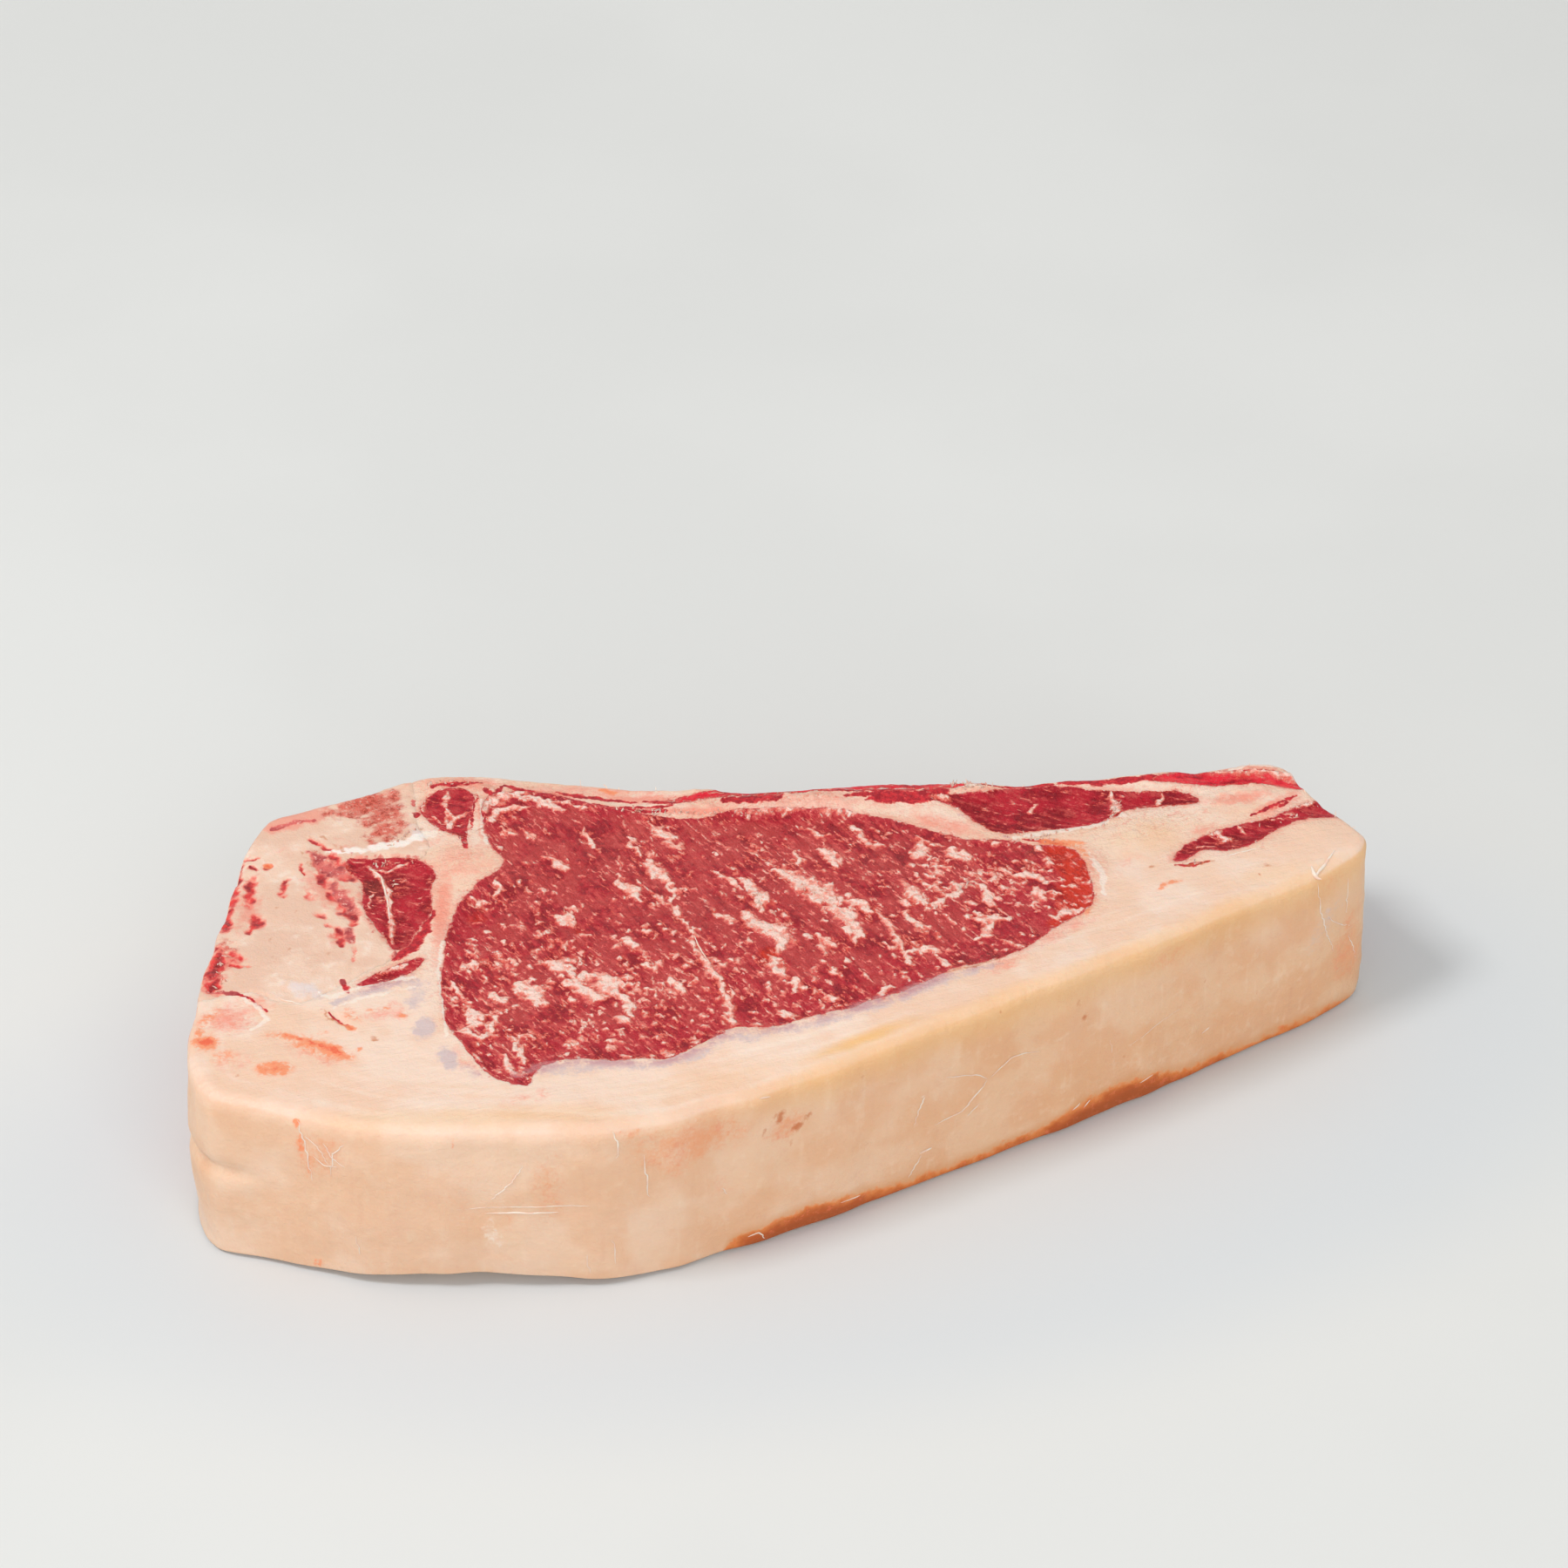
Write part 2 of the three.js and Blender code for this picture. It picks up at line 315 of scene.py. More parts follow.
def face_points(eye_spacing, other_spacing, margin):
    """Points that fill a face: close in the eye, wider apart elsewhere, and margin spacings off edges."""
    eye_low, eye_high = inner_loops["loin_eye"].min(axis=0), inner_loops["loin_eye"].max(axis=0)
    in_eye = hex_points(eye_low, eye_high, eye_spacing, 5)
    in_eye = in_eye[eye_inside.depth(in_eye) > margin * eye_spacing]
    elsewhere = hex_points(*span, other_spacing, 6)
    elsewhere = elsewhere[eye_inside.depth(elsewhere) < -margin * other_spacing]
    elsewhere = elsewhere[upper_inside.depth(elsewhere) > margin * other_spacing]
    edges = np.vstack([inner_loops[name] for name in INNER])
    gap = Nearby(edges).find(elsewhere)[1]
    return np.vstack([in_eye, elsewhere[gap > margin * 0.7 * other_spacing]])


upper_fill = face_points(EYE_SPACING, FACE_SPACING, EDGE_MARGIN)
print(f"{len(upper_fill)} points inside the upper face")


# %% Triangulate, and deal the triangles out
MERGE_GAP, NO_AREA = 1e-5, 1e-9


def triangulate(loops, fill):
    """Delaunay triangles of the loops and the fill points, and the loops that hold each triangle."""
    corners = np.vstack(list(loops) + [fill])
    faces, start = [], 0
    for loop in loops:
        faces.append(list(range(start, start + len(loop))))
        start += len(loop)
    made = delaunay_2d_cdt([Vector(p) for p in corners], [], faces, 1, MERGE_GAP, True)
    points = np.array([(v.x, v.y) for v in made[0]])
    return points, np.array(made[2]), made[5]


PIECES = INNER + ["fat_cap"]
FAT = len(INNER)
plan, triangles, holders = triangulate([upper_loop] + [inner_loops[n] for n in INNER], upper_fill)
owner = np.array([min((h for h in held if h > 0), default=FAT + 1) - 1 for held in holders])
owner[[0 not in held for held in holders]] = -1
a, b, c = plan[triangles[:, 0]], plan[triangles[:, 1]], plan[triangles[:, 2]]
area = ((b - a)[:, 0] * (c - a)[:, 1] - (b - a)[:, 1] * (c - a)[:, 0]) / 2
keep = (owner >= 0) & (np.abs(area) > NO_AREA)
triangles, owner, area = triangles[keep], owner[keep], area[keep]
triangles[area < 0] = triangles[area < 0][:, ::-1]
for i, name in enumerate(PIECES):
    print(f"{name}: {(owner == i).sum()} triangles, {np.abs(area[owner == i]).sum():.0f} mm2")

# %% [markdown]
# ## The lower face and the side
# The lower face is hidden when the steak lies down, so it is meshed wider apart, but it starts from the
# same edge points. Between the two faces each rim point carries a column of side points, which turn over
# the rounded rim, run down the side and turn in again at the base.

# %% Edges between the pieces and round the rim
COUNT = len(plan)


def open_edges(faces):
    """The directed edges that only one of the faces has."""
    edges = np.vstack([faces[:, [0, 1]], faces[:, [1, 2]], faces[:, [2, 0]]])
    there, back = edges[:, 0] * COUNT + edges[:, 1], edges[:, 1] * COUNT + edges[:, 0]
    return edges[~np.isin(there, back)]


rim_edges = open_edges(triangles)
after = dict(rim_edges.tolist())
rim = [rim_edges[0, 0]]
while after[rim[-1]] != rim[0]:
    rim.append(after[rim[-1]])
rim = np.array(rim)
column_of = np.full(COUNT, -1)
column_of[rim] = np.arange(len(rim))
piece_edges = [open_edges(triangles[owner == i]) for i in range(len(PIECES))]
print(f"rim: {len(rim)} points; edges of the pieces: {[len(e) for e in piece_edges]}")


# %% Where each rim point lies along the outline
def place_along(loop, points):
    """For points on a closed loop, their place along it counted in its points."""
    nearest = Nearby(loop).find(points)[0]
    best, place = np.full(len(points), np.inf), np.zeros(len(points))
    for start in (nearest - 1, nearest):
        a, b = loop[start % len(loop)], loop[(start + 1) % len(loop)]
        t = np.clip(((points - a) * (b - a)).sum(axis=1) / ((b - a) ** 2).sum(axis=1), 0, 1)
        miss = np.linalg.norm(a + (b - a) * t[:, None] - points, axis=1)
        place = np.where(miss < best, start + t, place)
        best = np.minimum(miss, best)
    return place


def along_outline(values, place):
    """Values given at the outline's points, read off at places between them."""
    turns = np.arange(len(values) + 2) - 1
    looped = np.take(values, turns, axis=0, mode="wrap")
    place = place % len(values)
    if looped.ndim == 1:
        return np.interp(place, turns, looped)
    return np.column_stack([np.interp(place, turns, looped[:, i]) for i in range(looped.shape[1])])


place = place_along(upper_loop, plan[rim])
side_plan = along_outline(outline, place)
side_normal = along_outline(outline_normals, place)
side_normal /= np.linalg.norm(side_normal, axis=1, keepdims=True)
side_round = along_outline(rounding, place)

# %% Triangulate the lower face from the same edge points
edge_ids = np.unique(np.vstack(piece_edges))
lower_edge_plan = plan[edge_ids].copy()
on_rim = column_of[edge_ids] >= 0
lower_rim = side_plan - side_normal * LOWER_ROUND * LOWER_INSET
lower_edge_plan[on_rim] = lower_rim[column_of[edge_ids[on_rim]]]
lower_fill = face_points(LOWER_EYE_SPACING, LOWER_FACE_SPACING, LOWER_EDGE_MARGIN)
renumber = np.full(COUNT, -1)
renumber[edge_ids] = np.arange(len(edge_ids))
forced = {tuple(sorted(e)) for e in renumber[np.vstack(piece_edges)].tolist()}
lower_corners = [Vector(p) for p in np.vstack([lower_edge_plan, lower_fill])]
made = delaunay_2d_cdt(lower_corners, sorted(forced), [], 0, MERGE_GAP, True)
lower_plan = np.array([(v.x, v.y) for v in made[0]])
lower_triangles = np.array(made[2])
below = np.full(COUNT, -1)  # upper edge point -> the lower point under it
for new, old in enumerate(made[3]):
    for k in old:
        if k < len(edge_ids):
            below[edge_ids[k]] = new
flat = lower_plan[lower_triangles]
turn = np.cross(flat[:, 1] - flat[:, 0], flat[:, 2] - flat[:, 0])
lower_triangles[turn < 0] = lower_triangles[turn < 0][:, ::-1]


# %% Deal the lower triangles out by filling from the edges
def fill_owners():
    """The piece that owns each lower triangle: known at the piece edges, then spread between them."""
    known = {}
    for i, edges in enumerate(piece_edges):
        for a, b in below[edges].tolist():
            known[a, b] = i
    by_edge = {}
    sides = [[(t[0], t[1]), (t[1], t[2]), (t[2], t[0])] for t in lower_triangles.tolist()]
    for index, trio in enumerate(sides):
        for edge in trio:
            by_edge[edge] = index
    owners = [-1] * len(sides)
    front = []
    for edge, piece in known.items():
        index = by_edge.get(edge)
        if index is not None and owners[index] < 0:
            owners[index] = piece
            front.append(index)
    while front:
        index = front.pop()
        for a, b in sides[index]:
            other = by_edge.get((b, a))
            if other is None or owners[other] >= 0 or (a, b) in known or (b, a) in known:
                continue
            owners[other] = owners[index]
            front.append(other)
    return np.array(owners)


lower_owner = fill_owners()
outside = (lower_owner < 0) | (np.abs(turn) < NO_AREA)
lower_triangles, lower_owner = lower_triangles[~outside], lower_owner[~outside]
print("lower triangles:", {name: int((lower_owner == i).sum()) for i, name in enumerate(PIECES)})

# %% [markdown]
# ## Distances
# Most of what can be seen on the cut face goes with a distance: the rim rounds off within a few
# millimetres of the edge, lean sinks away from the fat round it, and a pale skin follows the eye. Each
# point of the faces gets its distance to the rim, to the nearest seam, to the lean and to the bone.

# %% Measure the distances
seam_edges = np.unique(np.vstack([e[(column_of[e] < 0).any(axis=1)] for e in piece_edges]))
seams = Nearby(plan[seam_edges])
lean_edges = piece_edges[: len(MUSCLES)]
lean_edge_ids = np.unique(np.vstack([e[(column_of[e] < 0).any(axis=1)] for e in lean_edges]))
lean_edge = Nearby(plan[lean_edge_ids])
bone_edge = Nearby(even_loop(inner_loops["bone"], FINE_STEP))
fine_rim = even_loop(upper_loop, FINE_STEP)
near_rim = Nearby(fine_rim)
fine_round = along_outline(rounding, place_along(upper_loop, fine_rim))


def distances(points):
    """Distances in mm to the rim, seams, lean and bone, and the rim's rounding nearest by."""
    nearest, to_rim = near_rim.find(points)
    return {
        "rim": to_rim,
        "round": fine_round[nearest],
        "seam": seams.find(points)[1],
        "lean": lean_edge.find(points)[1],
        "bone": bone_edge.find(points)[1],
    }


upper_gaps = distances(plan)
lower_gaps = distances(lower_plan)

# %% Which piece each point belongs to
upper_piece = np.full(COUNT, FAT)
lower_piece = np.full(len(lower_plan), FAT)
for i in range(len(PIECES)):
    upper_piece[triangles[owner == i]] = i
    lower_piece[lower_triangles[lower_owner == i]] = i
BONE_ID = PIECES.index("bone")
EYE_ID = PIECES.index("loin_eye")

# %% [markdown]
# ## Marbling
# Marbling is fat laid down between the bundles of muscle fibre. The eye has dozens of large ragged
# flecks, three thin seams, and a great many small flecks that lie along the fibres. The large ones and
# the seams are drawn here as paths with a width at each point. The small ones are strewn by rule:
# crowded in the middle and along the lower edge, sparse at the upper left. Each fleck leaves a value
# that is 1 on its middle line and 0 at its edge, and noise makes the edge ragged.

# %% Large flecks in the eye, as paths of (x, y, half-width) in mm
LARGE_FLECKS = [
    [(-28.6, 38.6, 0.7), (-26.4, 35.6, 1.8), (-24.2, 32.4, 1.7), (-22.2, 29.6, 0.6)],
    [(-28.2, 27.4, 1.2), (-28.6, 25, 2.0), (-26.6, 22, 1.9), (-25, 18.4, 0.9), (-23, 14, 0.6)],
    [(-34.6, 22.6, 0.5), (-34, 19.4, 1.0), (-32.2, 17.4, 1.5), (-30.8, 13.4, 0.9)],
    [(-33.6, 34.2, 0.5), (-32.6, 32.4, 0.9), (-31.4, 30.4, 0.5)],
    [(-49.4, 27.2, 0.6), (-47.2, 25.6, 1.3), (-45.2, 23.2, 0.7)],
    [(-47.4, 9.4, 0.7), (-45.2, 7.6, 1.6), (-43.2, 6.4, 1.0)], [(-44.6, 12, 0.6), (-42.6, 10.6, 1.1)],
    [(-63, 14.4, 0.8), (-61.4, 12.4, 1.2)], [(-59.4, 19.6, 0.7), (-58.2, 17, 0.9), (-59.2, 14.8, 0.5)],
    [(-49.2, -5.8, 0.9), (-46, -7, 1.6), (-43.4, -9, 1.3), (-41.6, -12, 0.9)],
    [(-53.6, -12.8, 1.0), (-51.2, -14.8, 2.0), (-49.6, -17.4, 1.8), (-48, -20.4, 0.8)],
    [(-40, -10, 1.2), (-37.4, -11.6, 2.2), (-35.4, -14, 2.4), (-33.8, -16.4, 1.2)],
    [(-43.2, -13, 1.0), (-40, -16, 1.5), (-37, -18.2, 0.8)],
    [(-33.2, -17, 1.0), (-31.8, -20, 1.5), (-30.6, -23.4, 0.8)], [(-34, -24.4, 0.8), (-31.8, -25.2, 0.9)],
    [(-58.2, -15.8, 0.8), (-56.2, -17.6, 1.2)], [(-57, -23.6, 0.7), (-57.6, -26.6, 1.1), (-58, -29.6, 0.6)],
    [(-62, -19.8, 0.6), (-61.4, -22.6, 1.1), (-60.8, -26, 0.8), (-63.2, -28, 1.0)],
    [(-64, -8, 0.9), (-62, -6.6, 1.0)], [(-66, -13, 0.6), (-64.8, -15.4, 0.8)],
    [(-52.8, -32, 0.6), (-52.2, -36.4, 0.8), (-50.4, -38.4, 0.6)], [(-55.6, -36, 0.6), (-53.2, -40, 0.8)],
    [(-15.4, 21.4, 0.6), (-12.6, 19.2, 1.1), (-11.2, 17.2, 0.7)],
    [(-9.8, 19.6, 0.8), (-8, 15.8, 1.4), (-5.8, 12.4, 1.2), (-6.8, 9.8, 0.9)],
    [(-9.2, 7.4, 1.1), (-7, 4.2, 2.0), (-4, 2.4, 2.3), (-2.2, -1.2, 1.9), (-2.9, -4.4, 0.8)],
    [(-4, -6.4, 1.1), (-3, -9.4, 1.7), (-2.4, -12.4, 1.0)], [(-15.2, 8.2, 0.7), (-12.4, 6, 1.2)],
    [(-33, 0.4, 0.6), (-31, -1.6, 1.0)], [(-28.8, -7.6, 0.8), (-26.6, -9.2, 0.9)],
    [(-24.4, -12.6, 0.6), (-22, -16.4, 0.9)],
    [(-3.2, 22.6, 0.8), (0, 19.8, 1.8), (2.4, 17.4, 2.6), (4.8, 15, 2.7), (7, 12.2, 2.2), (9, 10, 1.2)],
    [(8.2, 9.8, 1.2), (10, 7.8, 1.7), (11.6, 5, 1.6), (12.2, 1, 1.0), (11.6, -1.8, 0.6)],
    [(10.6, 12.2, 0.8), (13, 11, 1.2), (15, 8.8, 0.7)], [(3.2, 36.8, 0.8), (5.4, 33.4, 1.4)],
    [(12, 36.4, 0.8), (13.4, 34, 1.4), (15, 31.6, 1.3), (17.4, 30.8, 0.6)],
    [(4.6, 29.6, 0.7), (7, 28, 1.4), (8.6, 25.8, 1.3), (7.8, 23.6, 0.7)],
    [(0.4, 29.2, 0.6), (1.4, 25.8, 0.9)], [(25, 33, 0.9), (25.8, 30.4, 1.5), (24.6, 27.6, 0.9)],
    [(31.4, 29.6, 1.3), (34, 27.8, 1.4)], [(23, 16.4, 1.2), (24.6, 13.6, 1.7), (25.8, 11.8, 1.0)],
    [(25.8, 18.2, 0.5), (27.2, 17, 0.9)],
    [(30, 14.8, 0.9), (32, 15.2, 1.4), (33, 18, 0.9), (31, 18.8, 0.5)], [(29, 13, 0.7), (28.6, 11, 0.8)],
    [(36.8, 18.4, 0.8), (38.6, 15.4, 1.3), (39.4, 12.6, 0.9)], [(48, 17.2, 0.9), (48.4, 13.6, 1.1)],
    [(43.6, 22, 0.7), (46, 22.6, 1.1), (49, 21, 0.8), (52.4, 20.4, 0.5)],
    [(36.4, 6.6, 1.1), (38.6, 7, 1.5), (42, 7.6, 0.8)],
    [(38.2, 5.4, 0.9), (37.4, 1.4, 0.8), (35.2, 0, 0.5)],
    [(52.4, 8, 0.7), (54, 9.8, 1.2), (56.6, 9.2, 1.0)],
    [(22.8, -3.2, 0.9), (25, -2.4, 1.3), (27.4, -3.6, 0.9)], [(28, -5, 0.5), (29.8, -8.2, 0.7)],
    [(28.2, 23.4, 0.9), (28.6, 21, 0.8)], [(5, 0.6, 0.7), (8, -2.6, 0.9)],
    [(21.8, 9, 0.5), (23, 6.2, 0.8), (24.4, 3.6, 0.6)], [(18.2, -15, 0.6), (17, -18, 0.8)],
    [(0.4, -13.8, 0.7), (1.2, -16.4, 0.9)], [(-2.6, -22.6, 0.8), (-0.6, -23.4, 0.9)],
    [(6.2, -18.6, 0.9), (7.8, -19.4, 0.7)], [(-58.6, 37.6, 0.5), (-56.8, 35, 0.8)],
    [(-54, 36.2, 0.6), (-52, 33.8, 0.8)], [(-41.4, 37.4, 0.5), (-40.6, 33.6, 0.8), (-39.6, 30.6, 0.5)],
    [(-16, 42.4, 0.7), (-7, 43.2, 1.5), (2, 43.6, 2.0), (10, 43.2, 1.7), (18, 41.8, 1.0)],
    [(-62, 43, 0.9), (-60.6, 46, 1.5), (-57.6, 48.4, 1.6), (-54, 48.8, 1.1)],
    [(-61, 39.6, 0.7), (-59.4, 42.6, 1.3), (-56.4, 44.2, 1.0), (-53, 43.4, 0.5)],
    [(-55, 47.4, 0.7), (-51.4, 46.2, 1.3), (-48.4, 44.2, 1.4), (-46.2, 42.6, 0.7)],
    [(-49, 46.6, 0.4), (-45, 45.2, 0.7), (-41, 43.4, 0.4)],
]
THIN_SEAMS = [
    [(-20.2, 0.4, 0.5), (-18.2, -5, 0.8), (-15.6, -10, 1.0), (-14.2, -14, 0.9), (-13, -19, 0.9),
     (-12, -24, 0.9), (-11.4, -27, 1.2)],
    [(16, 9.2, 0.5), (18.2, 5, 0.8), (20, 1, 0.8), (21, -3, 0.7), (22.6, -8, 0.6)],
    [(-31, 20, 0.3), (-24, 11, 0.5), (-19, 1, 0.4)],
]


# %% Paint paths and patches on plan points
PATH_REACH = 3  # mm round a path; nothing farther off is painted
FAR_OUTSIDE = -9.0  # the value there
PATCH_REACH = 1.35  # a patch fades out at this many times its listed size


def shake(points, sizes=((1.7, 0.5), (0.75, 0.24))):
    """Moves the points that a pattern is read at by pairs of (size, far), so that its edges are ragged."""
    moved = np.array(points, float)
    for i, (size, far) in enumerate(sizes):
        moved[:, 0] += noise(points, size, 31 + i) * far
        moved[:, 1] += noise(points, size, 41 + i) * far
    return moved


def path_value(points, path):
    """1 on a path of (x, y, half-width), falling to 0 at its edge and below 0 outside."""
    value = np.full(len(points), FAR_OUTSIDE)
    low = np.array(path)[:, :2].min(axis=0) - PATH_REACH
    high = np.array(path)[:, :2].max(axis=0) + PATH_REACH
    close = ((points > low) & (points < high)).all(axis=1).nonzero()[0]
    p = points[close]
    best = np.full(len(close), FAR_OUTSIDE)
    for (ax, ay, aw), (bx, by, bw) in zip(path, path[1:]):
        a, run = np.array([ax, ay]), np.array([bx - ax, by - ay])
        t = np.clip((p - a) @ run / (run @ run), 0, 1)
        gap = np.linalg.norm(p - a - run * t[:, None], axis=1)
        best = np.maximum(best, 1 - gap / (aw + (bw - aw) * t))
    value[close] = best
    return value


def patch(points, x, y, across, along, turn=0.0):
    """1 in the middle of an oval patch and 0 at its edge. turn is its long axis in degrees."""
    c, s = math.cos(math.radians(turn)), math.sin(math.radians(turn))
    dx, dy = points[:, 0] - x, points[:, 1] - y
    reach = np.hypot((dx * c + dy * s) / along, (dy * c - dx * s) / across)
    return ease(reach, 1.0, 0.0)


# %% Strew the small flecks
def fibre_angle(x, y):
    """Which way the fibres lie in the eye, in degrees: steep at the left, nearly along it at the right."""
    angle = -62 + 50 * ease(x, 2, 42)
    return angle + 40 * ease(y, -18, -30)


def small_flecks(count, seed):
    """Short paths along the fibres, thicker on the ground in the middle and at the lower edge."""
    pick = np.random.default_rng(seed)
    low, high = inner_loops["loin_eye"].min(axis=0), inner_loops["loin_eye"].max(axis=0)
    paths = []
    while len(paths) < count:
        x, y = pick.uniform(low, high)
        here = np.array([[x, y]])
        crowd = 0.30 + 0.35 * ease(y, 6, -14) + 0.45 * ease(x, 14, 34)
        crowd += 0.5 * patch(here, -32, -6, 22, 26)[0]
        crowd += 0.25 * patch(here, 6, 4, 16, 18)[0] + 0.5 * clouds(here, 11.0, 61, 2)[0]
        crowd -= 0.3 * patch(here, 20, -14, 12, 9)[0] + 0.25 * patch(here, -45, 34, 16, 14)[0]
        if pick.random() > crowd:
            continue
        turn = math.radians(fibre_angle(x, y) + pick.normal(0, 24))
        length = min(pick.lognormal(-0.1, 0.55), 3.2) * (1.15 if x > 20 else 1)
        width = pick.uniform(0.32, 0.62) * (1 + 0.25 * (length > 1.5))
        bend = pick.normal(0, 0.35)
        step = np.array([math.cos(turn), math.sin(turn)]) * length / 2
        side = np.array([-math.sin(turn), math.cos(turn)]) * bend * length / 2
        a, b = np.array([x, y]) - step, np.array([x, y]) + step
        m = (a + b) / 2 + side
        paths.append([(*a, width * 0.6), (*m, width), (*b, width * 0.5)])
    return paths


SMALL_FLECK_COUNT = 1150
SMALL_FLECKS = small_flecks(SMALL_FLECK_COUNT, 7)
print(f"{len(LARGE_FLECKS)} large flecks, {len(SMALL_FLECKS)} small ones")

# %% [markdown]
# ## Heights
# The cut faces are nearly flat, but a knife leaves soft meat in slow swells, lean sinks a little below
# the fat as it dries, and each seam is a fine furrow. The heights below add these up, from the widest
# swell down to the fibre. The finest grain of all is left to the materials.

# %% The height of the upper face
THICKNESS = 38.0
SWELL_ROOM = 0.75  # the level face lies this far below THICKNESS, to leave room for the swells
LEAN_SINK, BONE_PROUD = 0.42, 0.25
SWELLS = [(0.55, 205, 170, 0.9), (0.35, 83, -117, 2.1)]  # rise, wave along x, wave along y, phase
MOUNDS = [  # x, y, across, along, turn, rise
    (-72, 53, 4, 12, 0, 1.2), (-88, 48, 4, 8, 30, 0.7), (94, 58.5, 4, 8, 0, 1.4), (75, 55, 4, 9, 0, 0.7),
    (-40, 51, 3.5, 12, -5, 0.7), (-100, 42, 4, 7, 20, 0.7), (6, 45, 3.6, 26, 2, 0.7),
    (-66, 28, 6, 7, 60, 0.7), (-8, -2, 6, 4, 0, 0.4), (64, 46, 4, 5, 70, 0.6), (36, 51, 2.5, 7, 0, 0.8),
    (58, 26, 7, 4, 0, 0.5), (-111, 34, 5, 4, 0, 0.9),
]
BACK_LEVEL = [  # x, rise of the back rim there
    (-96, 0), (-88, -0.9), (-56, -1.1), (-46, -1.6), (-33, -1.5), (-25, 0), (-20, 0.9), (0, 1.2), (28, 1.3),
    (36, 0.7), (46, 0.4), (56, 1.2), (70, 0.8), (80, 0.4), (89, -0.7), (106, -0.9),
]
DIPS = [  # x, y, across, along, turn, fall
    (-86.6, -25.4, 1.2, 3.4, -52, 0.9), (-96.8, -18, 3, 3, 0, 0.5), (-62, 8, 4, 5, 0, 0.5),
]


def rounded_drop(to_rim, r):
    """How far the rim, rounded by r, lies below the face. SLOPE_SHARE of r is in the side already."""
    inside = np.clip(r * (1 - SLOPE_SHARE) - to_rim, 0, None)
    return r - np.sqrt(np.clip(r**2 - inside**2, 0, None))


def fibre_relief(points, angle=-60.0):
    """Fine ridges along the fibres."""
    c, s = math.cos(math.radians(angle)), math.sin(math.radians(angle))
    turned = np.column_stack([points[:, 0] * c + points[:, 1] * s, points[:, 1] * c - points[:, 0] * s])
    return noise(turned, (4.5, 1.1), 51) + 0.6 * noise(turned, (2.2, 0.8), 52)


def face_height(points, gaps, piece):
    """Height in mm of the upper face, without what marbling and pits add."""
    x, y = points.T
    lean, bone = np.isin(piece, range(len(MUSCLES))), piece == BONE_ID
    height = np.full(len(points), THICKNESS - SWELL_ROOM)
    for rise, wave_x, wave_y, phase in SWELLS:
        height += rise * np.sin(2 * math.pi * (x / wave_x + y / wave_y) + phase)
    height += 0.3 * noise(points, 17.0, 53) + 0.13 * noise(points, 6.0, 54)
    for mx, my, across, along, turn, rise in MOUNDS:
        height += rise * patch(points, mx, my, across * 1.5, along * 1.5, turn)
    for mx, my, across, along, turn, fall in DIPS:
        height -= fall * patch(points, mx, my, across, along, turn)
    height += np.interp(x, *np.array(BACK_LEVEL).T) * ease(gaps["rim"], 9, 1) * ease(y, 30, 44)
    sunk = ease(gaps["seam"], 0.0, 2.2)
    height -= lean * LEAN_SINK * sunk * (1 + 0.5 * noise(points, 8.0, 59))
    height += bone * BONE_PROUD * ease(gaps["seam"], 0.0, 0.8)
    height -= 0.07 * ease(gaps["seam"], 0.5, 0.0) * (1 + noise(points, 3.0, 60))
    height += lean * (0.12 * fibre_relief(points) + 0.09 * noise(points, 1.3, 55)) * sunk
    fat = ~lean & ~bone
    curd = np.maximum(patch(points, 0, 46, 7, 45, 2), patch(points, -60, 50, 6, 26, -4))
    curd = np.maximum(curd, patch(points, 86, 50, 8, 22, 5))
    height += fat * (0.05 + 0.3 * curd) * (noise(points, 2.6, 56) + 0.7 * noise(points, 1.1, 57))
    rough_bone = np.maximum(patches(points, SPONGY_PATCHES), ease(gaps["bone"], 3, 0) * ease(y, 0, 20))
    height += bone * (0.05 + 0.2 * rough_bone) * (noise(points, 1.3, 58) + 0.6 * noise(points, 0.8, 50))
    return height - rounded_drop(gaps["rim"], gaps["round"])


# %% The side: how far it stands out from the outline, and how high the base is off the table
BULGE, HALFWAY = 0.7, 18  # how far the side swells out, and at what height
FURROW_HEIGHT, FURROW_WIDTH, FURROW_DEPTH = 20.5, 1.5, 1.3
REST_GAP = 0.12  # even where it rests, the base is this far off the table
HANG_X, HANG_WIDTH, HANG_HEIGHT = -62, 24, 2.9  # where the front hangs clear of the table


def side_relief(points):
    """Outward shift in mm of the side at 3-D points: slow dents, small ones, and one furrow."""
    x, y, z = points.T
    shift = 0.55 * noise(points, (26, 26, 19), 61) + 0.25 * noise(points, (9, 9, 7), 62)
    shift += 0.06 * noise(points, 2.6, 63) + BULGE * (1 - ((z - HALFWAY) / HALFWAY) ** 2) - 0.2
    furrow = np.exp(-(((z - FURROW_HEIGHT - 1.2 * noise(points, 20.0, 64)) / FURROW_WIDTH) ** 2))
    shift -= FURROW_DEPTH * furrow * ease(x, -98, -108) * ease(y, 10, -20)
    rough = ease(y, 20, 45)  # the back was pulled away from the ribs, not trimmed
    return shift + rough * 0.35 * noise(points, (5, 5, 3), 65)


def base_lift(points):
    """How far the base edge stands off the table: the front hangs a little between two contacts."""
    x, y = points[:, 0], points[:, 1]
    front = ease(-y, 40, 57)
    hang = front * HANG_HEIGHT * np.exp(-(((x - HANG_X) / HANG_WIDTH) ** 2))
    return REST_GAP + hang + 0.2 * (1 + noise(points[:, :2], 12.0, 66))


# %% [markdown]
# ## What shows on each surface
# Colour is painted as separate masks, one for each thing that changes it: blood, dried meat, yellow fat,
# the pale skin by the eye, marrow and so on. Each mask is a number at every point of the mesh. The
# materials turn the masks into colours later and break up their edges with finer noise, so a colour can
# be tuned without painting again.

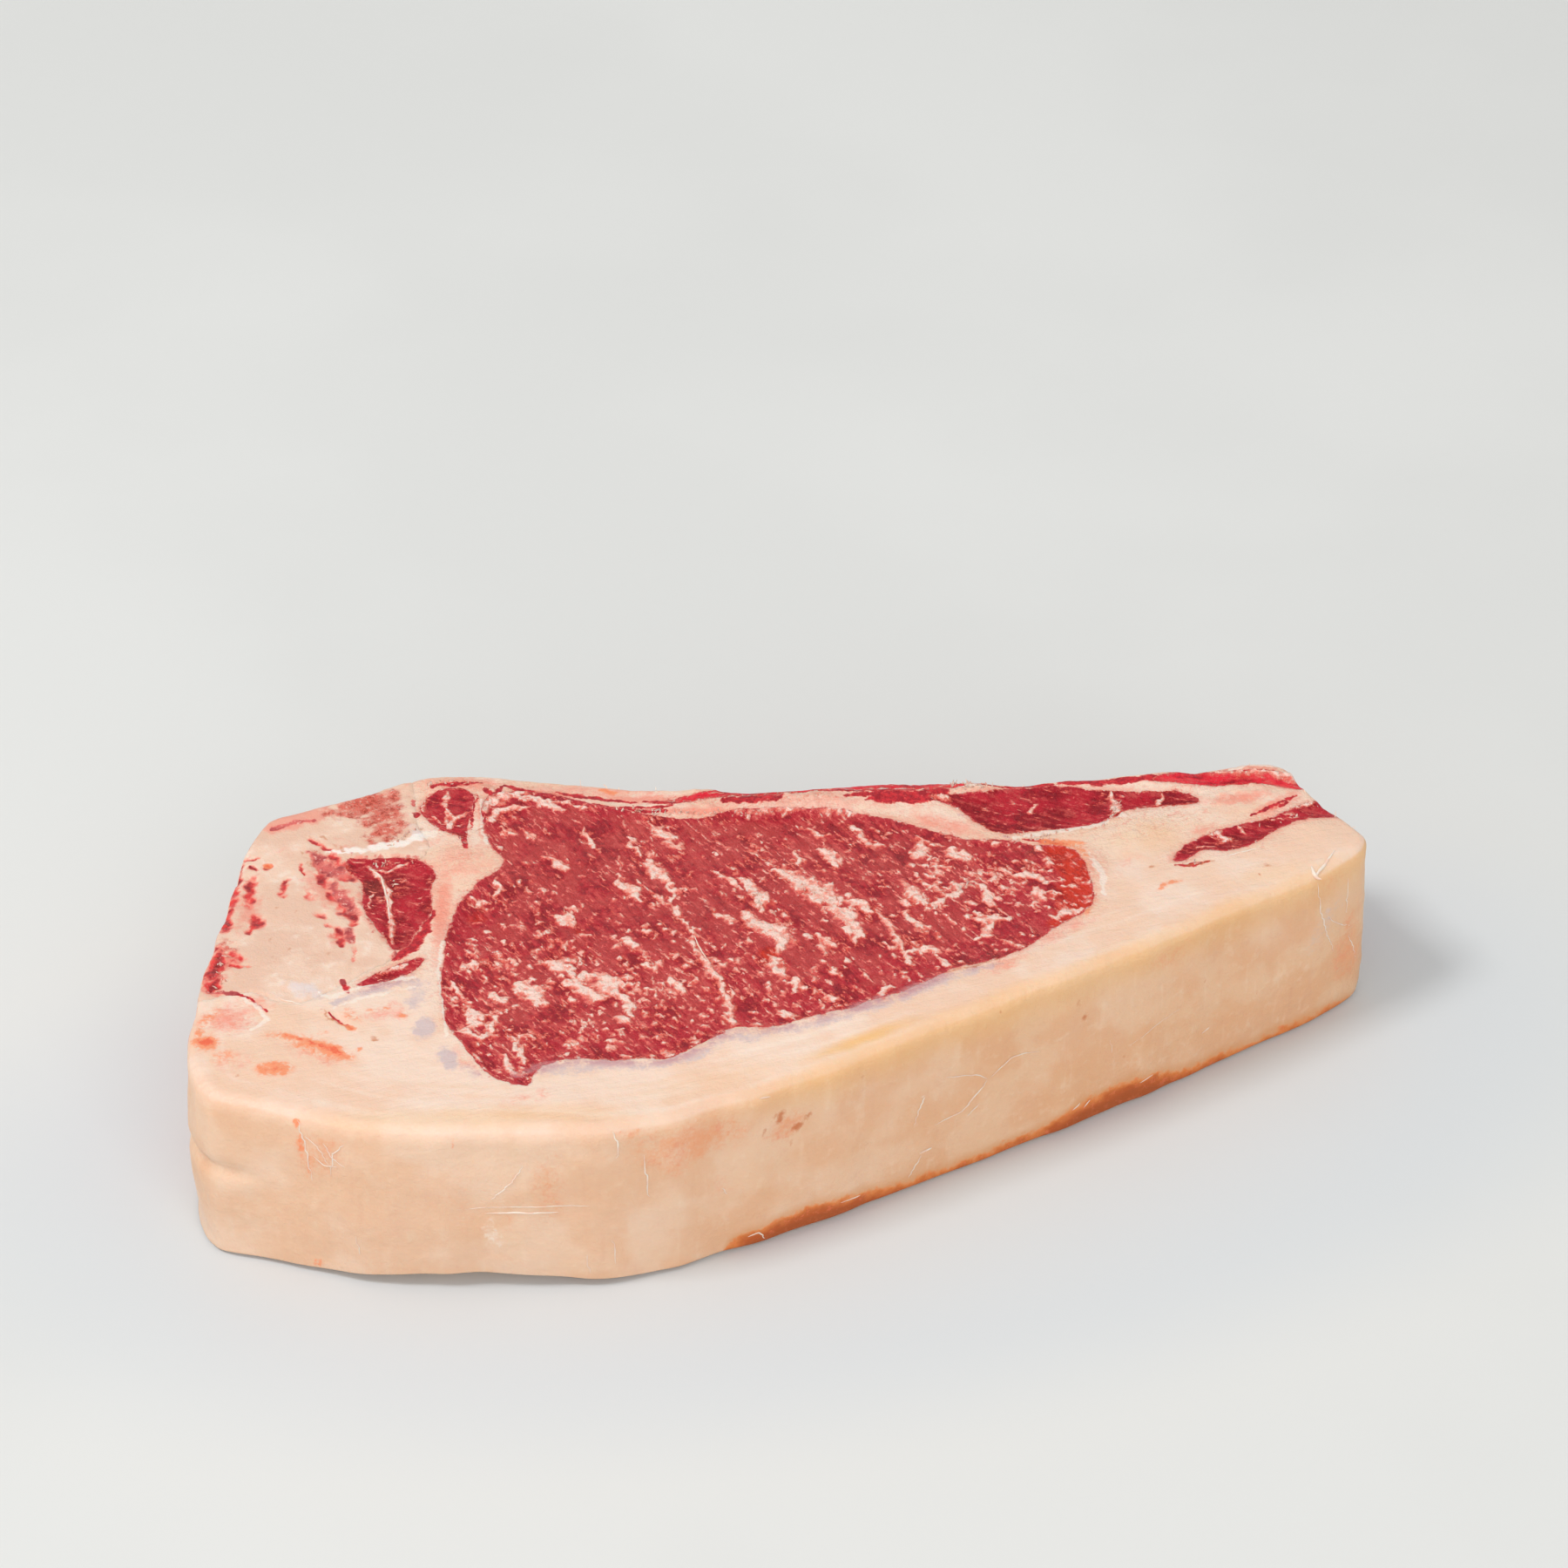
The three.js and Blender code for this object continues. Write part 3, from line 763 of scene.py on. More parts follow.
# %% Stains on the fat and the bone, as patches (x, y, across, along, turn, strength) and as paths
BLOOD_PATCHES = [
    (-111.4, -33.2, 1.8, 2.4, 10, 1.5), (-113.2, -30.2, 1.2, 2.4, 80, 0.6),
    (-96.9, -31.2, 0.9, 1.8, -20, 0.6), (-112, -26, 2, 4, 60, 0.3), (72.8, 17.8, 0.9, 2.4, 60, 0.45),
    (75.2, 19.4, 0.8, 2, 20, 0.45), (-90.4, -29.8, 0.8, 2.2, 10, 0.4), (-84.6, -24, 1.8, 4.0, -50, 0.3),
    (53, 33, 1.5, 5.4, -4, 0.85), (57.6, 30, 1.2, 4, -60, 0.5), (-104.4, 25.4, 0.9, 1.0, 0, 0.9),
    (-81, -22.8, 0.9, 1.2, 0, 0.4), (-78.6, -21.6, 0.8, 1.4, 0, 0.35), (-75, -23.6, 0.9, 1.3, 0, 0.4),
    (-82.6, -34.6, 0.5, 1, 70, 0.6), (-37.6, 50.4, 0.8, 2.4, -20, 0.8), (-98, -41.4, 2.4, 4.0, 10, 0.8),
    (-96, -31.4, 2, 6, -8, 0.35), (-90, -34.4, 3.0, 9, -25, 0.5), (57, 22, 1.6, 9, 88, 0.4),
    (58, 12, 1.4, 6, 80, 0.35), (-111.6, -33.6, 3.0, 3.6, 0, 0.6), (-108, -38, 3, 4, 0, 0.25),
]
BLOOD_PATHS = [
    [(-97, -30.6, 0.3), (-93, -32, 0.5), (-90, -33.6, 1.0), (-87.4, -34.8, 1.1), (-84.8, -37, 0.7)],
    [(-86.2, -26.6, 0.5), (-84.4, -28, 0.6)],
]
FLUSH_PATCHES = [
    (-66, 26, 7, 9, 60, 0.6), (-62, 24, 3, 6, 45, 0.45), (-69, 8, 2.6, 22, 90, 0.85),
    (-78, -23, 4.5, 6, 0, 0.5), (-108, -26, 6, 8, 20, 0.8), (-107, -39, 5, 6, 0, 0.3),
    (-92, -36, 5, 9, -20, 0.4), (-66, 52, 4, 14, 0, 0.8), (-40, 50, 4, 22, -4, 0.6),
    (0, 45, 4.5, 42, 2, 0.6), (30, 38, 4, 12, -25, 0.8), (59, 24, 4, 14, 85, 0.6),
    (94, 58.6, 3.6, 10, 0, 0.8), (100, 48, 3, 7, 50, 0.6), (-72, 33, 5, 6, 0, 0.3),
    (-67, 42, 2.5, 8, 90, 0.6), (-62, -38, 4, 10, -50, 0.35), (52, 2, 2.6, 16, 38, 0.5),
    (-100, 40, 3, 10, 20, 1.3), (-111, 36, 4, 4, 0, 0.9), (-104, -22, 5, 8, 30, 0.4),
    (20, 49, 2.5, 16, 3, 0.6), (-20, 46.6, 2, 10, 4, 0.9), (92, 33, 2, 8, 20, 0.4),
    (-20, 42.6, 1.6, 16, -2, 1.0), (90, 48.5, 3, 9, 10, 0.9), (-61.6, 40, 1.4, 12, 88, 0.9),
    (-66, 52.6, 2, 10, 2, 1.0), (-78, -23.4, 2.4, 5, 8, 0.7), (-90, 31, 3, 6, -40, 0.5),
    (97, 45.6, 2.4, 7, 40, 1.0), (-62.4, 43, 1.6, 8, 88, 1.0), (-50, 48.6, 3, 12, -6, 1.1),
    (-30, 47.4, 2.4, 12, -4, 1.0), (-81, 40, 3, 6, 50, 0.5), (-50, -50, 4, 9, 10, 0.3),
    (41, -8.6, 2.5, 7, 35, 0.6), (82, 37.6, 2.4, 5, 25, 0.6), (-57.5, -46, 2, 4, 0, 0.2),
    (-102, 30, 3, 6, 60, 0.3), (66, 27, 5, 9, 70, 0.3), (-107, 12, 3.6, 13, 88, 0.8),
    (-92, 17, 4.5, 11, -62, 0.9), (-100.4, 18, 2, 4, 80, 0.5), (-88, 47, 2.6, 9, 25, 1.1),
    (-96, 43, 2.6, 7, 30, 1.1), (-89, 1, 2.6, 6, -75, 0.6), (-110, -8, 3, 12, 88, 0.6),
    (-84, 31, 2, 5, 30, 0.4),
]
GOLD_PATCHES = [
    (13, -31.6, 2.6, 15, 28, 1.2), (-12, -44, 5, 22, 20, 0.2), (70, 36, 7, 15, 20, 0.4),
    (46, -14, 2.5, 16, 30, 0.1), (-60, -56, 4, 40, 2, 0.5), (96, 22, 4, 12, 20, 0.4),
]
RUST_PATCHES = [
    (-98, -41.4, 2.6, 4.4, 10, 0.6), (-105, -43.6, 0.6, 0.8, 0, 0.8), (-90.8, -43.8, 0.6, 0.7, 0, 0.8),
    (71, 25, 0.9, 1.4, 0, 0.7), (92.2, 21.8, 0.5, 0.9, 60, 1.0), (94, 25, 1.2, 1.8, 0, 0.5),
    (-79.6, -31.3, 0.8, 1.6, -20, 0.8), (-62, 51.5, 1, 3, 0, 0.5), (-89.6, -38.6, 0.8, 1.6, 0, 0.3),
    (-97.6, 9, 0.5, 1.4, 80, 0.6), (-101.6, 10.6, 0.4, 1.0, 60, 0.6), (-95.4, 2.4, 0.5, 1.6, -60, 0.6),
    (-98, -3.6, 0.5, 1.4, 80, 0.5), (-93.2, -9.4, 0.5, 1.2, 70, 0.5), (-103.4, 14, 0.5, 1.0, 0, 0.6),
    (-104, -14.6, 0.6, 1.8, 30, 0.5), (-53, 52, 1, 3, 10, 0.5), (-25, 49, 0.9, 3, 0, 0.6),
    (58, 2.6, 0.8, 3, 35, 0.4), (98, 32.8, 0.6, 1, 0, 0.5), (38.6, -18, 0.5, 1.2, 30, 0.3),
    (-101, -6.4, 0.8, 2, 80, 0.4), (-90.2, -5.2, 0.8, 1.8, 70, 0.45), (-102, 0.4, 0.5, 2.4, 90, 0.5),
    (-112.6, -6, 1.0, 4, 90, 0.5), (-107.4, -12, 1, 1.6, 0, 0.35),
]
RUST_PATHS = [
    [(-96.6, 34.6, 0.3), (-93, 31.6, 0.4)], [(-94.4, 35, 0.3), (-91, 31, 0.4)],
    [(-91.4, 33, 0.2), (-89.4, 29.6, 0.4)], [(-98, 30, 0.2), (-96, 25, 0.4)],
    [(-90.4, -22.4, 0.3), (-88.4, -25.4, 0.5), (-85, -28.2, 0.5)],
    [(29, -11, 0.4), (36, -8.6, 0.7), (41, -5, 0.6), (46, 0, 0.6), (50.4, 3, 0.4)],
    [(76, 24.8, 0.4), (79.4, 25.4, 0.6), (83.4, 26.6, 0.4)],
]
MEAT_PATCHES = [
    (-91.6, 23.6, 2.8, 5.0, -35, 1.1), (-88.4, 13.4, 2.0, 5.4, -62, 1.0), (-94.6, 27.6, 1.6, 3.4, -40, 0.8),
    (-86.6, 1, 1.5, 3.4, -75, 0.9), (-90.6, 17.4, 1.6, 3.0, -60, 0.8),
]
# Dark red scraps and slips of muscle that the fat holds along the torn back edge.
MEAT_PATHS = [
    [(-50.4, 48, 1.0), (-46, 46.2, 1.3), (-43, 44.9, 1.0), (-38, 43.8, 0.5), (-30, 43.9, 0.55),
     (-24, 44.6, 0.3)],
    [(-24, 46.6, 0.5), (-18, 47.4, 0.8), (-12, 47.2, 1.0), (-6, 46.9, 1.0), (-1, 48.6, 0.8),
     (6, 50.4, 1.1), (14, 51.2, 1.2), (22, 51.6, 1.1), (29, 51.4, 0.9)],
    [(10.6, 46.4, 0.5), (15, 46.9, 0.8), (21, 47.3, 1.0), (26, 47.5, 0.9), (28.4, 46.4, 0.8)],
    [(27, 49.4, 1.0), (30, 48, 1.4), (31.4, 46, 1.2)], [(43, 51.2, 0.6), (47, 52.3, 1.0), (52, 52, 0.9)],
    [(54, 52.4, 0.8), (62, 52.8, 1.0), (68, 53.8, 1.1), (73, 54.6, 0.9)],
    [(-58, 51.4, 0.6), (-55.6, 50.6, 1.0), (-53, 49.8, 0.7)], [(-66, 51.8, 0.5), (-70, 51.2, 0.6)],
    [(-64.2, 36, 0.3), (-64.6, 42, 0.4), (-63.6, 48, 0.4)],
    [(-104, 37.8, 0.4), (-100, 39.4, 0.7), (-96, 40, 0.3)],
    [(95, 44.6, 0.2), (99, 47.2, 0.4), (102, 49.4, 0.2)], [(91.6, 42, 0.3), (95, 44.2, 0.5), (98, 46, 0.3)],
    [(76, 25, 0.5), (79.6, 25.6, 0.6), (82.6, 26.4, 0.3)], [(-86.8, -13.4, 0.5), (-86, -16.4, 0.7)],
    [(46, 34.2, 0.4), (50, 33.6, 0.8), (53, 32.6, 0.6)], [(33, 51.3, 0.3), (38, 51.4, 0.5), (42, 51, 0.4)],
    [(-60.6, 43.6, 0.5), (-60, 47.4, 0.9), (-59, 50.8, 0.6)], [(-57.4, 46.6, 0.5), (-56, 49.4, 0.8)],
    [(-63, 52, 0.4), (-68, 51.8, 0.9), (-73, 51.2, 0.5)], [(-66.6, 33.6, 0.5), (-64.8, 29.4, 0.5)],
    [(-62.2, 40, 0.4), (-61.6, 36, 0.3)], [(-76.4, 46.6, 0.6), (-76.6, 44.8, 0.5)],
    [(-76, 42, 0.5), (-75.4, 41, 0.6)], [(15, 45.2, 0.7), (20, 45.6, 1.2), (26.6, 45.9, 1.1)],
    [(-14, 45.2, 0.8), (-8, 45, 1.3), (-2.4, 46, 0.9)], [(6, 48.4, 0.8), (14, 48.9, 1.2), (24, 49.4, 1.1)],
    [(-37, 42.6, 0.4), (-31, 42.5, 0.8), (-26, 42.9, 0.5)], [(96.4, 43.6, 0.2), (99.6, 46.6, 0.4)],
    [(4, 49.7, 0.8), (11, 50.2, 1.2), (19, 50.6, 1.0)],
    [(-113.4, -17.0, 0.3), (-106.4, -18, 0.35), (-103.2, -21, 0.3), (-100.8, -23.4, 0.2)],
    [(-88.8, -23.6, 0.2), (-86.6, -26, 0.35), (-84.8, -28, 0.4)],
    [(-71, 10, 0.7), (-72, 4, 1.1), (-74, -2, 1.4), (-77.4, -5.6, 1.0)],
    [(-72.6, -6, 0.4), (-77, -8.4, 0.5)],
    [(-58, 48.6, 0.6), (-53, 48, 1.0), (-48, 46, 1.1), (-44.6, 44.6, 0.7)],
    [(-48, 49.4, 0.4), (-43, 48.2, 0.8), (-37, 47, 0.8), (-32, 46.6, 0.5)],
    [(-30, 46.2, 0.5), (-25, 45.8, 0.8), (-20, 46, 0.5)],
    [(-62.4, 50.4, 0.4), (-60.6, 48, 0.7), (-60.8, 44, 0.4)],
]
SKIN_PATHS = [
    [(-52.6, -41.6, 1.2), (-47, -40.4, 2.4), (-41, -39.8, 2.6), (-35, -39.6, 1.8), (-25.6, -39.2, 1.6),
     (-19.4, -36.6, 1.6), (-13, -31.2, 2.4), (-5, -29.4, 2.0), (4, -26.4, 2.0), (13, -21.8, 2.2),
     (21, -18.2, 2.4), (28, -13.8, 2.0), (35, -10.4, 1.4), (40, -8, 0.6)],
    [(-88.4, -20.6, 0.7), (-84.4, -17.6, 1.4), (-79, -14.6, 1.8), (-74, -12.2, 2.0), (-72, -15, 2.4),
     (-72.6, -20, 2.0)],
]
SKIN_PATCHES = [
    (-70.6, -27.4, 2.6, 4.2, 80, 1.7), (-65.6, -37, 2.2, 4.6, -75, 1.6), (-61, -41.4, 2.0, 4, -50, 0.7),
    (-94, -16.6, 3.0, 5.6, -20, 1.0), (-75.6, 35.4, 1.8, 3.6, -60, 0.8), (-86, -20, 2, 4, 60, 0.4),
    (34, 41.4, 0.8, 1.8, -40, 0.7), (42.6, 34.8, 0.7, 1.4, -30, 0.7), (31.4, 43, 0.6, 1.2, -50, 0.5),
]
WHITE_PATHS = [
    [(-106, -19.4, 0.5), (-102.4, -22.4, 0.6), (-100.4, -26, 0.6), (-103.4, -29, 0.5)],
    [(64.4, 49.8, 0.4), (64.8, 46, 1.2), (65.6, 42.6, 1.3)],
    [(30, 50.4, 0.7), (34, 51.0, 1.1), (37.6, 50.6, 0.7)],
    [(44, 34.2, 0.8), (50, 36.6, 0.9), (58.6, 38.6, 0.8), (63, 40.6, 0.8)],
    [(57.6, 31, 0.6), (60, 26, 1.0), (61.4, 21, 0.7), (61, 15, 0.5)],
    [(6, 49, 0.5), (12, 49, 0.7), (19, 49.4, 0.7), (24, 49.2, 0.4)],
    [(-88, -22, 0.3), (-84, -19, 0.5), (-78, -16.4, 0.5), (-73, -14.4, 0.4)],
    [(-66.4, -30, 0.5), (-67, -20, 0.6), (-68.8, -10, 0.6), (-68.6, 0, 0.5)],
    [(-93, 29.4, 0.7), (-86, 29.8, 1.3), (-79, 31.6, 1.5), (-72, 35, 1.4)],
    [(-91.6, -17.6, 0.4), (-88.6, -18.6, 0.8), (-85.6, -16, 0.6), (-79.3, -12.4, 0.7), (-73, -11.8, 0.6)],
    [(-61.2, 31, 0.4), (-62.4, 38, 0.5), (-62.6, 46, 0.4)],
    [(88, 57.9, 0.4), (93, 59.6, 0.9), (99, 59.2, 0.8)],
]

# %% Marks on the bone
MARROW_PATHS = [
    [(-110.2, 28, 0.6), (-110.0, 21, 1.0), (-110.8, 12.4, 0.9)], [(-107.0, 20.8, 0.9), (-107.3, 12.2, 1.1)],
    [(-111.2, 10, 1.2), (-111, 3.6, 1.1)], [(-105.9, 8, 1.0), (-105.0, 5.6, 1.6), (-106.4, 3, 0.9)],
    [(-112.2, -3, 0.9), (-112.6, -10, 1.2)], [(-109, -4.6, 0.7), (-107.2, -7, 0.7)],
    [(-109, -8.8, 0.5), (-105.8, -9.2, 0.5)], [(-112.8, -11, 1.5), (-112, -17, 1.5)],
    [(-108.8, 28.2, 0.4), (-106.8, 27.6, 0.5)], [(-108, 24.8, 0.4), (-107.2, 24, 0.4)],
    [(-100.1, 20.6, 0.6), (-100.7, 15.6, 0.9)], [(-96.2, 34, 0.5), (-94, 31.6, 0.6), (-92.4, 30, 0.4)],
    [(-95, 27, 0.7), (-93.4, 22.6, 1.2), (-92.6, 18, 1.0)],
    [(-91.8, 28, 0.9), (-89.8, 24.4, 1.4), (-89, 20, 0.9)], [(-97.6, 26, 0.3), (-97, 22, 0.4)],
    [(-91.2, 14.8, 0.9), (-88.8, 12.4, 1.6), (-87.3, 9, 1.8), (-86, 5.6, 1.0)],
    [(-88.8, 2.4, 0.9), (-88.2, 0.4, 1.3), (-87.8, -2, 0.9)], [(-86.6, 1.2, 0.7), (-86.0, -0.4, 0.7)],
    [(-113, 34, 0.5), (-111.2, 30, 0.6)],
]
MARROW_PATCHES = [
    (-91.6, 24, 2.0, 5.6, -52, 0.8), (-94, 21, 1.0, 3.4, -70, 0.75), (-88.4, 22, 1.5, 4.6, -60, 0.85),
    (-88.8, 11.4, 1.9, 4.8, -65, 1.0), (-88, 0.4, 1.5, 3.2, -75, 0.8), (-85.2, -4.6, 0.8, 3.2, 88, 0.9),
    (-92.6, 7.8, 0.9, 2.2, -50, 0.65), (-90.9, 4.6, 0.6, 1.6, -60, 0.6), (-95.4, 14.6, 0.9, 2.8, -70, 0.8),
    (-100.3, 18, 0.9, 2.4, 80, 1.0), (-107.2, 17.4, 1.2, 4.6, 88, 0.9), (-105.4, 6, 1.9, 3.0, 70, 0.9),
    (-110.6, 20, 1.2, 9, 89, 1.7), (-111, 6, 1.3, 4, 90, 1.6), (-111.6, -8, 1.8, 6, 86, 1.5),
    (-108, -7.4, 1.6, 3, 0, 0.6), (-111.8, -15.6, 1.7, 3.4, 80, 1.5), (-104.4, 25, 1.0, 1.1, 0, 0.9),
    (-85, 26, 1.0, 4, -40, 0.5),
]
SPONGY_PATCHES = [
    (-85, 46, 5, 8, 25, 1.0), (-82.6, 41.4, 4.0, 6.5, 40, 0.85), (-81.5, 36.5, 4, 6, 50, 0.9),
    (-91, 43.5, 3.4, 5, 25, 0.6), (-110.6, -6, 3, 9, 88, 0.6), (-107, 19, 3, 9, 85, 0.2),
    (-93, 25, 3.5, 7, -60, 0.55),
]

# %% Marks in the small muscles
SMALL_MUSCLE_PATHS = [
    [(-84.4, 24.6, 0.5), (-81.6, 20.4, 0.5), (-79.9, 16.4, 0.6), (-79.5, 11, 0.5), (-78.6, 5.4, 0.5),
     (-78.3, -1, 0.4)],
    [(-84, 24, 0.3), (-80.4, 22.8, 0.4), (-76.6, 25.2, 0.3)], [(-83, 16, 0.2), (-83.6, 10, 0.3)],
    [(-81, -11, 0.3), (-78, -9.2, 0.5), (-74.6, -7.6, 0.4)],
    [(-70.2, 48.8, 0.3), (-70.6, 45.4, 0.4), (-69.3, 43, 0.4), (-68.1, 39.6, 0.5), (-69, 36.4, 0.4)],
    [(-74.6, 46, 0.7), (-75, 43, 0.8)], [(-68, 40, 0.4), (-66, 41.6, 0.5)],
    [(48.8, 46.6, 0.3), (47.6, 43.4, 0.4)], [(64.2, 50, 0.4), (64.7, 46.4, 0.9), (65.6, 42.2, 1.1)],
    [(74.6, 49.6, 0.3), (72.8, 45.8, 0.6)], [(30.4, 47, 1.2), (28, 47.6, 1.0)],
    [(84.4, 36.8, 0.5), (86.4, 34.6, 0.9), (85.6, 33.4, 0.4)], [(89, 38.6, 0.3), (90.6, 36.4, 0.4)],
    [(80, 31.4, 0.3), (84, 32, 0.4)], [(100, 44.8, 0.4), (105, 47.4, 0.5)],
    [(-69.7, 49.4, 0.35), (-69.9, 44, 0.4), (-69.2, 38, 0.35)], [(-72.6, 41, 0.3), (-70.4, 38.4, 0.3)],
    [(85, 57.2, 0.6), (91, 58.2, 1.6), (96, 58.2, 2.1), (101, 57.2, 1.9), (105, 55.4, 1.2)],
    [(80, 34.4, 0.2), (85.6, 36.6, 0.3)], [(96, 40.8, 0.2), (101.4, 41.6, 0.3)],
]
SMALL_CROWDS = {
    "multifidus": 0.3, "flank_muscle": 0.16, "back_strip": 0.4, "tail_strip": 0.12, "tail_muscle": 0.12,
    "corner_muscle": 0.16, "multifidus_slip": 0.4,
}

# %% Marks in the eye, and where the fat is curdled
CROWDED = [(0.24, [(32, 18, 16, 22, 0, 1.0)]), (0.22, [(0, 26, 8, 22, 0, 1.0)])]
SPARSE = [(0.22, [(36, -1, 9, 12, 30, 1.0), (56, 19, 6, 14, 85, 1.4)]), (0.18, [(-45, 26, 12, 16, 0, 1.0)])]
EYE_BLOOD_PATHS = [[(53, 31, 2.4), (56.6, 27, 3.4), (57.8, 18, 4.2), (57, 11, 3.4), (52, 5.6, 2)]]
EYE_BLOOD_PATCHES = [
    (-62, 8, 3, 3.4, -30, 0.5), (-42, 3.4, 1, 1.6, 0, 0.6), (-4.8, -4.8, 2, 2.8, 80, 0.9),
    (-51, -16.5, 2.4, 3, 0, 0.5), (-36, -15, 2, 3.4, -30, 0.5), (12, 9, 1.6, 3, 60, 0.5),
]
EYE_FRESH_PATCHES = [(-62, 8, 5, 7, 0, 1.0)]
EYE_DRY_PATCHES = [
    (38, -5, 4, 8, 40, 0.8), (47, 30.4, 1.6, 7, 3, 1.0), (34, -8.6, 1.2, 6, 25, 0.9),
    (24, 25, 6, 9, 0, 0.3), (-28, 20, 9, 18, -60, 0.25),
]
SMALL_DRY_PATCHES = [(-83.4, 16, 3, 11, 78, 0.75)]
CURD_PATCHES = [(0, 46, 5, 45, 2, 1.0), (-60, 50, 5, 26, -4, 1.0), (70, 42, 9, 24, 15, 0.8)]
END_CURD_PATCHES = [(-66, 28, 8, 9, 60, 0.7), (58, 24, 6, 14, 85, 0.8)]

# %% Turn the lists into masks
MASKS = ["marbling", "specks", "blood", "dry", "fresh", "flush", "gold", "rust", "meat", "skin", "white"]
MASKS += ["marrow", "layer", "curd", "peach", "crust", "lean_gap"]
NO_CRUST, FAR_FROM_LEAN = -3.0, 6.0  # what two of the masks say where there is no crust and no lean


def patches(points, rows):
    """The strongest of several patches at each point."""
    total = np.zeros(len(points))
    for x, y, across, along, turn, strength in rows:
        oval = patch(points, x, y, across * PATCH_REACH, along * PATCH_REACH, turn)
        total = np.maximum(total, strength * oval)
    return total


def paths(points, rows, low=-1.0):
    """The strongest of several paths at each point, from low up to 1."""
    total = np.full(len(points), float(low))
    for row in rows:
        total = np.maximum(total, path_value(points, row))
    return total


def soft_paths(points, rows, spread=0.5):
    """Paths as a mask from 0 to 1 that fades out a little way beyond their edges."""
    return np.clip((paths(points, rows) + spread) / (0.6 + spread), 0, 1)


def eye_marbling(points):
    """The marbling value in the eye: the large flecks, the thin seams and the small flecks."""
    ragged = shake(points, ((3.6, 1.2), (1.7, 0.8), (0.9, 0.4)))
    lumpy = noise(points, 1.5, 70) + 0.7 * noise(points, 0.85, 69)
    value = paths(ragged, LARGE_FLECKS) * 1.15 + 0.15
    value = np.maximum(value, paths(shake(points, ((3.0, 0.7), (1.2, 0.45))), THIN_SEAMS) * 0.8)
    value += 0.5 * lumpy * ease(value, -0.9, 0.1)
    small = paths(shake(points, ((1.4, 0.5), (0.8, 0.3))), SMALL_FLECKS)
    small = small * (0.75 + 0.35 * noise(points, 5.0, 71)) + 0.3 * lumpy
    x, y = points.T
    return np.maximum(value, small) - 0.32 * ease(y - 0.3 * x, 14, 34)


def fleck_crowd(points):
    """How thickly the finest flecks are strewn over the eye, 0 to about 1.2."""
    x, y = points.T
    crowd = 0.38 + 0.15 * ease(y, 12, -6) * ease(x, 12, -14) + 0.3 * ease(y - 0.3 * x, -24, -33)
    crowd += sum(share * patches(points, rows) for share, rows in CROWDED)
    crowd -= sum(share * patches(points, rows) for share, rows in SPARSE)
    return crowd + 0.3 * clouds(points, 9.0, 72, 3)


